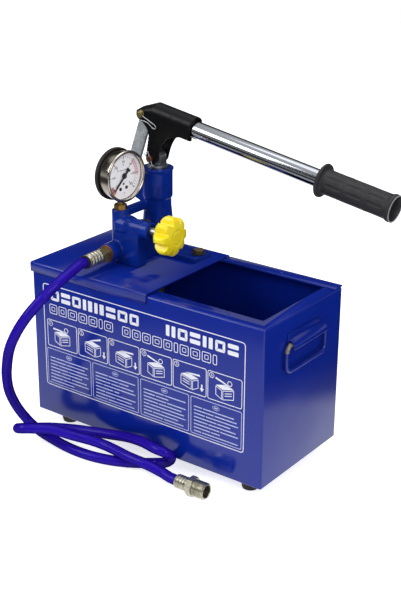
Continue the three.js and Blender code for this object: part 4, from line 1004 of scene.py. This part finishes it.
def buildCasting():
    x, z = casting["lug"]
    form = bmesh.new()
    prism(form, casting["foot"], -casting["half"], casting["half"], pumpFrame)
    spun(form, casting["barrel"], pumpFrame, 64)
    spun(form, casting["tower"], towerFrame)
    spun(form, casting["outletArm"], pumpFrame @ shift(*casting["outlet"]) @ alongY)
    spun(form, casting["valveArm"], valveFrame @ alongX)
    for low, high, bevel in casting["blocks"]:
        boxed(form, low, high, pumpFrame, bevel)
    spun(form, casting["riser"], riserFrame)
    lug = arc(x, z, casting["eye"], 90, 226, 9) + casting["lugRoot"]
    prism(form, lug, -casting["lugHalf"], casting["lugHalf"], pumpFrame, 1)
    form = blended(form, casting["voxel"], casting["passes"])
    cutter = bmesh.new()
    spun(cutter, casting["barrelBore"], pumpFrame)
    for profile, place in ((rod(6.3, 2.2, 43), valveFrame @ alongX), (rod(6.3, 40, 57), outletFrame @ alongY),
                           (rod(5, 57.8, 70), towerFrame)):
        spun(cutter, profile, place, 32)
    room = casting["slot"]
    slot = arc(x, z, room, 180, 361, 10)
    slot += [(x + room + 3.3, z + 6), (x + room + 3.3, z + room), (x - room, z + room)]
    prism(cutter, slot, -casting["slotHalf"], casting["slotHalf"], pumpFrame)
    finished(carved(form, cutter), "pumpCasting", castPaint, "cast_paint", "pump_body", angle=50)


buildCasting()
print("casting blended")

bolts = {"places": (-47, 65), "hex": 6.5, "head": (9, 13.3), "nut": (-8.8, -3.3),
         "washer": [(4.4, 7.3), (9, 7.3, 0.3), (9, 8.7, 0.4), (4.4, 8.7)],
         "shank": [(0, -13), (3.6, -13, 0.5), (4, -12), (4, 9.2), (0, 9.2)]}


def buildBolts():
    washers, heads = bmesh.new(), bmesh.new()
    for x in bolts["places"]:
        place = pumpFrame @ shift(x)
        spun(washers, bolts["washer"], place, 36)
        hexed(heads, place, bolts["hex"], *bolts["head"], chamfer=1.1, turned=12)
        spun(heads, bolts["shank"], place, 24)
        hexed(heads, place, bolts["hex"], *bolts["nut"], chamfer=0.9, turned=20)
    finished(washers, "baseWashers", softRubber, "steel", "base_washer_left", "base_washer_right")
    finished(heads, "baseBolts", brownZinc, "zinc", "base_bolt_left", "base_bolt_right", "base_nut_left",
             "base_nut_right")


plug = {"washer": collar(7, 10, 38.7, 40.2, 0.4), "hex": (8, 40.5, 47.5),
        "shank": [(0, 33.4), (6.2, 33.4, 0.5), (6.6, 34), (6.6, 41), (0, 41)]}


def buildPlug():
    lathed("deliveryWasher", plug["washer"], riserFrame, 36, softCopper, "copper", "delivery_washer")
    form = bmesh.new()
    hexed(form, riserFrame, *plug["hex"], chamfer=1.2, turned=8)
    spun(form, plug["shank"], riserFrame, 28)
    finished(form, "deliveryPlug", brownZinc, "zinc", "delivery_plug")


suction = {"bore": 5.6, "radius": 7.8, "low": -181.8, "high": 9.7, "edge": 0.4}


def buildSuction():
    lathed("suctionPipe", collar(*suction.values()), pumpFrame, 36, oliveZinc, "zinc", "suction_pipe")


buildBolts()
buildPlug()
buildSuction()

plunger = {"eye": 9.5, "eyeZ": 123.2, "foot": 112.8, "half": 7, "edge": 0.8,
           "rod": [(0, 31), (9.4, 31, 0.5), (10, 32), (10, 109.8), (13, 109.8, 0.4), (13, 113, 0.5),
                   (11.2, 113.1), (11, 112.7), (9.6, 112.7), (9.4, 113.1), (0, 113.1)]}


def buildPlunger():
    eye, half = plunger["eye"], plunger["half"]
    form = bmesh.new()
    spun(form, plunger["rod"], pumpFrame, 56)
    tongue = [(-eye, plunger["foot"]), (eye, plunger["foot"])] + arc(0, plunger["eyeZ"], eye, 0, 181, 12)
    prism(form, tongue, -half, half, pumpFrame, plunger["edge"])
    finished(form, "plungerRod", plainSteel, "steel", "plunger", body="piston")


buildPlunger()

head = {
    "half": 13, "sheet": 2.5, "ridge": 68.5, "sole": 38, "sleeveEnd": 51.5, "apex": -9, "eyeX": -23.8,
    "eyeZ": 51, "eyeRadius": 8.6, "leg": 8.7, "throat": 11, "cheekEnd": 36, "axis": 53.2, "roof": 6.5,
    "slope": 0.56, "bend": 12, "soleBend": 4, "waist": 24, "slices": 12, "bore": 10.9, "boreFrom": 3.7,
    "pinBore": 3.8,
    "split": ((20, -4.5, 30), (60, 4.5, 53.2)), "voxel": 0.0008, "passes": 3,
}


def bowed(start, middle, end, steps=8):
    # Points of a curve that leaves and arrives towards its middle corner
    a, b, c = (Vector(point) for point in (start, middle, end))
    return [tuple(a.lerp(b, s / steps).lerp(b.lerp(c, s / steps), s / steps)) for s in range(1, steps + 1)]


def arched(part):
    # The flat top and the sleeve's sole are bent round, slice by slice
    half = head["half"]
    for corner in part.verts:
        x, y, z = corner.co
        behind = min(0, x - head["apex"])
        bend = 1 - math.sqrt(max(0, 1 - (min(abs(y), half) / half) ** 2))
        if z > head["ridge"] + behind * head["slope"] - 0.6:
            corner.co.z -= max(3, head["bend"] + behind * 0.42) * bend
        elif z < head["sole"] + 0.5 and x > head["cheekEnd"] - 2:
            corner.co.z += head["soleBend"] * bend


def headOutline():
    top, sole, leg, eyeX, eyeZ, eye = (head[key] for key in ("ridge", "sole", "leg", "eyeX", "eyeZ",
                                                             "eyeRadius"))
    outline = [(head["apex"], top), (eyeX - 3.5, eyeZ + eye - 1)] + arc(eyeX, eyeZ, eye, 110, 253, 9)
    outline += bowed(outline[-1], (-leg, sole), (-leg, head["waist"])) + arc(0, 0, leg, 180, 361, 10)
    outline += bowed((leg, 0), (head["throat"], sole), (head["cheekEnd"], sole), 12)
    return outline + [(head["sleeveEnd"], sole), (head["sleeveEnd"], top)]


def buildHead():
    part = bmesh.new()
    prism(part, headOutline(), -head["half"], head["half"], Matrix())
    for cut in range(1 - head["slices"], head["slices"]):
        y = head["half"] * math.sin(math.pi / 2 * cut / head["slices"])
        bmesh.ops.bisect_plane(part, geom=part.verts[:] + part.edges[:] + part.faces[:], plane_co=(0, y, 0),
                               plane_no=(0, 1, 0))
    arched(part)
    inner, roof, end = head["half"] - head["sheet"], head["ridge"] - head["roof"], head["cheekEnd"]
    cutter = bmesh.new()
    prism(cutter, [(-11, roof), (-28.5, 55.5), (-36, 53), (-36, -12), (19, -12), (end, 37), (end, roof)],
          -inner, inner, Matrix(), 4, 3)
    part = carved(part, cutter)
    part = reshaped(part, shift(0, 0, head["axis"]) @ alongX, rod(head["bore"], head["boreFrom"], 60), 48)
    cutter = bmesh.new()
    boxed(cutter, *head["split"], Matrix(), 0)
    part = carved(part, cutter)
    cutter = bmesh.new()
    for x, z in ((head["eyeX"], head["eyeZ"]), (0, 0)):
        spun(cutter, rod(head["pinBore"], -20, 20), shift(x, 0, z) @ alongY, 28)
    form = bmesh.new()
    take(form, carved(part, cutter), leverFrame)
    form = blended(form, head["voxel"], head["passes"])
    finished(form, "leverHead", leverBlack, "handle_paint", "lever_head", body="lever", angle=60)


buildHead()
print("lever head made")

tube = {"radius": 10.6, "wall": 1.6, "low": 4, "high": 323, "edge": 0.3}
tubeFrame = leverFrame @ shift(0, 0, head["axis"]) @ alongX


def buildTube():
    bore = tube["radius"] - tube["wall"]
    profile = collar(bore, tube["radius"], tube["low"], tube["high"], tube["edge"])
    lathed("handleTube", profile, tubeFrame, 64, chromePlate, "chrome", "handle_tube", body="lever")


grip = {"low": 234, "high": 331.5, "bore": 10.9, "radius": 15, "flange": 20.4, "rim": 16.6, "columns": 10,
        "rows": ((11, 35), (38, 62), (65, 88)), "seam": 0.9, "slant": 0.7, "sunk": 0.9}


def gripProfile():
    low, high, bore, radius, flange, rim = (grip[key]
                                            for key in ("low", "high", "bore", "radius", "flange", "rim"))
    profile = [(bore, low), (15.6, low), (flange, low + 1.2), (flange + 0.2, low + 3),
               (flange - 0.5, low + 5), (radius + 0.6, low + 6.6), (radius, low + 9)]
    profile += [(radius, low + spot) for row in grip["rows"] for spot in row]
    return profile + [(radius, high - 7.5), (rim - 0.2, high - 5.2), (rim, high - 4), (rim, high - 1),
                      (rim - 1, high), (bore, high)]


def padFaces(part, start, end, column):
    chosen = []
    for face in part.faces:
        middle = face.calc_center_median()
        around = math.degrees(math.atan2(middle.y, middle.x)) % 360 - column * 360 / grip["columns"]
        outside = Vector(middle[:2]).length > grip["radius"] * 0.95
        if outside and start < middle.z < end and 0 < around < 240 / grip["columns"]:
            chosen.append(face)
    return chosen


def buildGrip():
    part = turnedForm(gripProfile(), grip["columns"] * 3)
    bmesh.ops.remove_doubles(part, verts=part.verts, dist=0.002)
    bmesh.ops.recalc_face_normals(part, faces=part.faces)
    for column in range(grip["columns"]):
        for start, end in grip["rows"]:
            pad = padFaces(part, grip["low"] + start, grip["low"] + end, column)
            for width, depth in ((grip["seam"], 0), (grip["slant"], -grip["sunk"])):
                bmesh.ops.inset_region(part, faces=pad, thickness=width, depth=depth, use_even_offset=True)
    form = bmesh.new()
    take(form, part, tubeFrame)
    sleeve = finished(form, "handleGrip", gripBlack, "grip_plastic", "handle_grip", body="lever")
    smooth = sleeve.modifiers.new("smooth", "SUBSURF")
    smooth.levels = smooth.render_levels = 2
    low, high = grip["high"] - 0.2, grip["high"] + 0.7
    lathed("gripEnd", [(14.8, low), (16.2, low, 0.3), (16.2, high, 0.4), (14.8, high, 0.3)], tubeFrame, 56,
           gripGrey, "grip_plastic", body="lever")


buildTube()
buildGrip()
print("handle made")

pins = {
    "radius": 3.5, "half": 13, "cap": 5.3, "linkRadius": 3.8, "linkHalf": 8.5, "linkCap": 5.6, "clip": 2.1,
    "washer": collar(3.4, 4.8, -14.2, -13.3, 0.3), "wire": 0.65,
    "upper": [(-5, 0), (0, 0), (10, 0), (20, 0), (26, -0.4), (28, -3), (25, -5), (20, -4.4), (14, -3.4),
              (8, -4.6), (4, -6)],
    "lower": [(-10, 0), (0, 0), (8, 0), (11, -0.6), (12, -3.4), (10, -5.4), (6, -4.4), (0, -4.2), (-6, -5.4),
              (-9, -7)],
    "link": [(-7, 0), (0, 0), (6, 0), (8.4, -0.6), (9, -2.6), (7, -4), (2, -3.8), (-4, -4.6)],
}
upperFrame = leverFrame @ shift(head["eyeX"], 0, head["eyeZ"])
lugFrame = pumpFrame @ shift(casting["lug"][0], 0, casting["lug"][1])


def pinned(form, radius, half, place, cap):
    spun(form, [(0, -half - 4.2), (radius - 0.4, -half - 4.2, 0.2), (radius, -half - 3.8),
                (radius, half + 0.3), (cap, half + 0.3, 0.3), (cap, half + 2.1, 0.8), (0, half + 2.1)],
         place @ alongY, 32)


def clipped(name, points, half, place, lean, node, body):
    form = bmesh.new()
    line = smoothLine([(x, 0, z) for x, z in points], 5)
    wired(form, line, pins["wire"], place @ shift(0, -half - pins["clip"]) @ turn(lean, "Y"))
    finished(form, name, plainSteel, "steel", node, body=body)


def buildPins():
    radius, half, cap = pins["radius"], pins["half"], pins["cap"]
    form = bmesh.new()
    pinned(form, radius, half, upperFrame, cap)
    spun(form, pins["washer"], upperFrame @ alongY, 28)
    finished(form, "upperPin", oliveZinc, "zinc", "upper_pin", body="lever")
    form = bmesh.new()
    pinned(form, radius, half, leverFrame, cap)
    finished(form, "lowerPin", softCopper, "copper", "lower_pin", body="lever")
    clipped("upperClip", pins["upper"], half, upperFrame, 15.2, "upper_clip", "lever")
    clipped("lowerClip", pins["lower"], half, leverFrame, 58.2, "lower_clip", "lever")
    form = bmesh.new()
    pinned(form, pins["linkRadius"], pins["linkHalf"], lugFrame, pins["linkCap"])
    finished(form, "linkPin", oliveZinc, "zinc", "link_pin")
    clipped("linkClip", pins["link"], pins["linkHalf"], lugFrame, 68, "link_clip", "tank")


buildPins()

link = {"half": 8.5, "length": 100.5, "foot": 11.5, "top": 5.8, "thick": 4.5, "edge": 0.9, "shoulder": 20,
        "footBore": 6.4, "topBore": 3.8}


def buildLink():
    half, length, foot, top, shoulder = (link[key] for key in ("half", "length", "foot", "top", "shoulder"))
    outline = arc(0, 0, foot, 180, 361, 12)
    outline += bowed((foot, 0), (half, foot), (half, shoulder))
    outline += bowed((half, length - shoulder), (half, length - top), (top, length))
    outline += arc(0, length, top, 10, 171, 14)
    outline += [(-top, length)] + bowed((-top, length), (-half, length - top), (-half, length - shoulder))
    outline += [(-half, shoulder)] + bowed((-half, shoulder), (-half, foot), (-foot, 0))[:-1]
    form = bmesh.new()
    prism(form, outline, -link["thick"] / 2, link["thick"] / 2, Matrix(), link["edge"], 3)
    cutter = bmesh.new()
    spun(cutter, rod(link["footBore"], -9, 9), alongY, 32)
    spun(cutter, rod(link["topBore"], -9, 9), shift(0, 0, length) @ alongY, 28)
    form = carved(form, cutter)
    bmesh.ops.transform(form, matrix=linkFrame, verts=form.verts)
    finished(form, "linkBar", galvanised, "steel", "link_bar", body="link")


buildLink()
print("linkage made")

gauge = {"radius": 30.7, "back": -12, "bezel": 32.5, "boot": 32.9, "dial": 28.9, "face": 5.4, "height": 111.6}


def buildGaugeCase():
    along = gaugeFrame @ alongX
    back, radius, boot, bezel, dial, face = (gauge[key]
                                             for key in ("back", "radius", "boot", "bezel", "dial", "face"))
    lathed("gaugeBoot", [(0, back), (boot - 1.5, back, 2), (boot, back + 1.8, 0.8), (boot, back + 5.4, 0.6),
                         (boot - 0.6, back + 6.2), (radius + 0.3, back + 6.2), (radius + 0.3, back + 1.9),
                         (0, back + 1.9)], along, 72, softRubber, "black_rubber", "gauge_boot")
    lathed("gaugeCase", [(0, back + 2.2), (radius - 0.4, back + 2.2), (radius, back + 3), (radius, 10.4),
                         (radius - 0.8, 10.4), (radius - 0.8, back + 3.4), (0, back + 3.4)], along, 72,
           stainlessCase, "stainless", "gauge_case")
    lathed("gaugeBezel", [(radius + 0.3, 9), (bezel - 0.6, 8.8, 0.5), (bezel, 9.6, 0.6), (bezel, 11.8, 1),
                          (bezel - 1.4, 13.2, 1), (dial + 0.9, 13.1, 0.5), (dial, 12.3, 0.3), (dial, 11.9),
                          (radius + 0.3, 11.3)], along, 88, stainlessCase, "stainless", "gauge_bezel")
    dress(glassClear, "gauge_glass")
    lathed("gaugeDial", [(1.5, face - 0.8), (dial + 0.5, face - 0.8), (dial + 0.5, face, 0.1), (1.5, face)],
           along, 72, dialWhite, "dial_white", "gauge_dial")


dialMark = {
    "proud": 0.06, "thick": 0.1, "arc": 20.4, "outer": 25.5, "numbers": 17.5, "size": 4.6, "start": 225,
    "sweep": 270, "bars": ((-11, -7.6), (-6.4, -1.2), (0, 4)), "barLow": 6.9, "barHigh": 7.5,
    "discs": ((0, -10.3, 1.5), (-5.5, -16.2, 2.3), (4.8, -15.5, 2.3)),
}
dialFrame = gaugeFrame @ shift(gauge["face"])
printFrame = dialFrame @ shift(dialMark["proud"])


def dash(form, place, inner, outer, low, high):
    boxed(form, (-dialMark["thick"] / 2, inner, low), (dialMark["thick"] / 2, outer, high), place, 0)


def sector(form, start, end, inner, outer, lift):
    # A flat band of the dial between two angles
    part = bmesh.new()
    angle = math.radians(start)
    for radius in (inner, outer):
        for x in (0, dialMark["thick"] / 2):
            part.verts.new((x, radius * math.cos(angle), radius * math.sin(angle)))
    part.verts.ensure_lookup_table()
    a, b, c, d = part.verts
    edges = [part.edges.new(pair) for pair in ((a, b), (b, d), (d, c), (c, a))]
    bmesh.ops.spin(part, geom=[a, b, c, d] + edges, axis=(1, 0, 0), cent=(0, 0, 0),
                   angle=math.radians(end - start), steps=24)
    bmesh.ops.holes_fill(part, edges=part.edges[:], sides=4)
    take(form, part, dialFrame @ shift(lift))


def dotted(form, y, z, radius, steps):
    spun(form, [(0, 0), (radius, 0), (radius, 0.08, 0.03), (0, 0.08)], dialFrame @ shift(0.01, y, z) @ alongX,
         steps)


def buildDial():
    upright = Matrix(((0, 0, 1, 0), (1, 0, 0, 0), (0, 1, 0, 0), (0, 0, 0, 1)))
    marks = bmesh.new()
    for tick in range(61):
        place = printFrame @ turn(dialMark["start"] - dialMark["sweep"] * tick / 60, "X")
        if tick % 10 == 0:
            dash(marks, place, 21, dialMark["outer"], -0.45, 0.45)
            dash(marks, place, 13, 15, -0.4, 0.4)
        elif tick % 2 == 0:
            dash(marks, place, 22.5, 24.5, -0.22, 0.22)
    radius = dialMark["numbers"]
    for tick in range(7):
        angle = math.radians(dialMark["start"] - dialMark["sweep"] * tick / 6)
        place = printFrame @ shift(0, radius * math.cos(angle), radius * math.sin(angle))
        numeral(marks, str(tick * 10), dialMark["size"], dialMark["thick"], place @ upright)
    sector(marks, -45, 45, dialMark["arc"] - 0.2, dialMark["arc"] + 0.1, 0.03)
    for left, right in dialMark["bars"]:
        dash(marks, printFrame, left, right, dialMark["barLow"], dialMark["barHigh"])
    for disc in dialMark["discs"]:
        dotted(marks, *disc, 24)
    finished(marks, "dialMarks", dialInk, "pointer_black")
    red = bmesh.new()
    sector(red, 210, 235, 21, 27, 0.02)
    dotted(red, 0.8, -21.9, 0.8, 20)
    finished(red, "dialRed", dialRed, "dial_white")
    pink = bmesh.new()
    sector(pink, -6, 50, dialMark["arc"], dialMark["outer"], 0.02)
    finished(pink, "dialBand", dialPink, "dial_white")


pointer = {
    "turned": 45, "low": -8, "high": -7.1, "edge": 0.15,
    "blade": [(-22.7, 0.8), (-22.7, -0.8), (-3, -1.2), (3, -1.3), (8, -1.4), (8, -3, 0.4), (11, -3, 0.5),
              (11, 3, 0.5), (8, 3, 0.4), (8, 1.4), (3, 1.3), (-3, 1.2)],
    "hub": [(0, -6.3), (1.1, -6.3), (1.1, 6.6), (3.6, 6.6, 0.3), (3.6, 8.2, 0.8), (0, 8.5)],
}


def buildPointer():
    place = gaugeFrame @ turn(pointer["turned"], "X")
    form = bmesh.new()
    prism(form, pointer["blade"], pointer["low"], pointer["high"], place @ turn(90, "Z"), pointer["edge"])
    spun(form, pointer["hub"], place @ alongX, 36)
    finished(form, "gaugePointer", dialInk, "pointer_black", "gauge_pointer", body="pointer")


stem = {"hex": (7.3, 68.3, 74.5), "block": ((-8.8, -6, 88.6), (4, 6, 97.6)),
        "rod": [(1.5, 58), (4.4, 58, 0.4), (4.6, 59), (4.6, 68.5), (4.2, 69), (4.2, 76), (3.9, 78), (3.9, 89),
                (1.5, 89)]}


def buildStem():
    upright = gaugeFrame @ shift(0, 0, -gauge["height"])
    form = bmesh.new()
    hexed(form, upright, *stem["hex"], turned=30)
    spun(form, stem["rod"], upright, 32)
    boxed(form, *stem["block"], upright, 1)
    finished(form, "gaugeStem", warmBrass, "brass", "gauge_stem")


buildGaugeCase()
buildDial()
buildPointer()
buildStem()
print("gauge made")

spindle = [(0, 10.9), (5.4, 10.9, 0.3), (5.8, 11.5), (5.8, 24.8, 0.4), (4.5, 25.6), (4.5, 39.4),
           (5.5, 39.4, 0.2), (5.5, 48.5, 0.2), (4.4, 48.5), (4.4, 73.8, 0.3), (0, 73.8)]
knob = {"low": 57.3, "high": 79.8, "radius": 25.6, "back": 20, "face": 13, "lobes": 8, "notch": 9,
        "points": 144, "bore": 4.7, "boreFrom": 40, "cap": 78.5, "neck": 7.5, "neckLow": 48.8,
        "voxel": 0.0006, "passes": 3}


def lobedOutline():
    outline = []
    for step in range(knob["points"]):
        angle = math.tau * step / knob["points"]
        radius = knob["radius"] - knob["notch"] * (0.5 - 0.5 * math.cos(knob["lobes"] * angle)) ** 1.5
        outline.append((radius * math.cos(angle), radius * math.sin(angle)))
    return outline


def buildKnob():
    low, high, radius = knob["low"], knob["high"], knob["radius"]
    form = bmesh.new()
    prism(form, lobedOutline(), low - 1, high + 1, Matrix())
    dome = [(0, low), (knob["back"], low, 3), (radius, low + 6.5, 4), (radius, low + 15, 4),
            (22.5, low + 19.5, 3), (knob["face"], high, 3), (0, high)]
    form = reshaped(form, alongY, dome, 72, "INTERSECT")
    neck = [(0, knob["neckLow"]), (knob["neck"], knob["neckLow"], 0.8), (knob["neck"], low + 2), (0, low + 2)]
    form = reshaped(form, alongY, neck, 40, "UNION")
    cutter = bmesh.new()
    spun(cutter, rod(knob["bore"], knob["boreFrom"], knob["cap"]), alongY, 32)
    spun(cutter, [(8.4, high - 0.9), (9.6, high - 0.9), (10, high + 1), (8, high + 1)], alongY)
    form = carved(form, cutter)
    bmesh.ops.transform(form, matrix=valveFrame @ turn(-90, "Z"), verts=form.verts)
    form = blended(form, knob["voxel"], knob["passes"])
    finished(form, "starKnob", knobYellow, "knob_plastic", "star_knob", body="spindle", angle=60)


lathed("valveSpindle", spindle, valveFrame @ alongX, 40, plainSteel, "steel", "valve_spindle", body="spindle")
buildKnob()
dress(plainSteel, "knob_screw", "suction_ball", "delivery_ball")
dress(warmBrass, "suction_strainer", "gland_bush", "pressure_tube", "gauge_movement", "valve_needle")
dress(softRubber, "plunger_packing", "valve_packing")
print("valve made")

scene.view_settings.view_transform = "Standard"
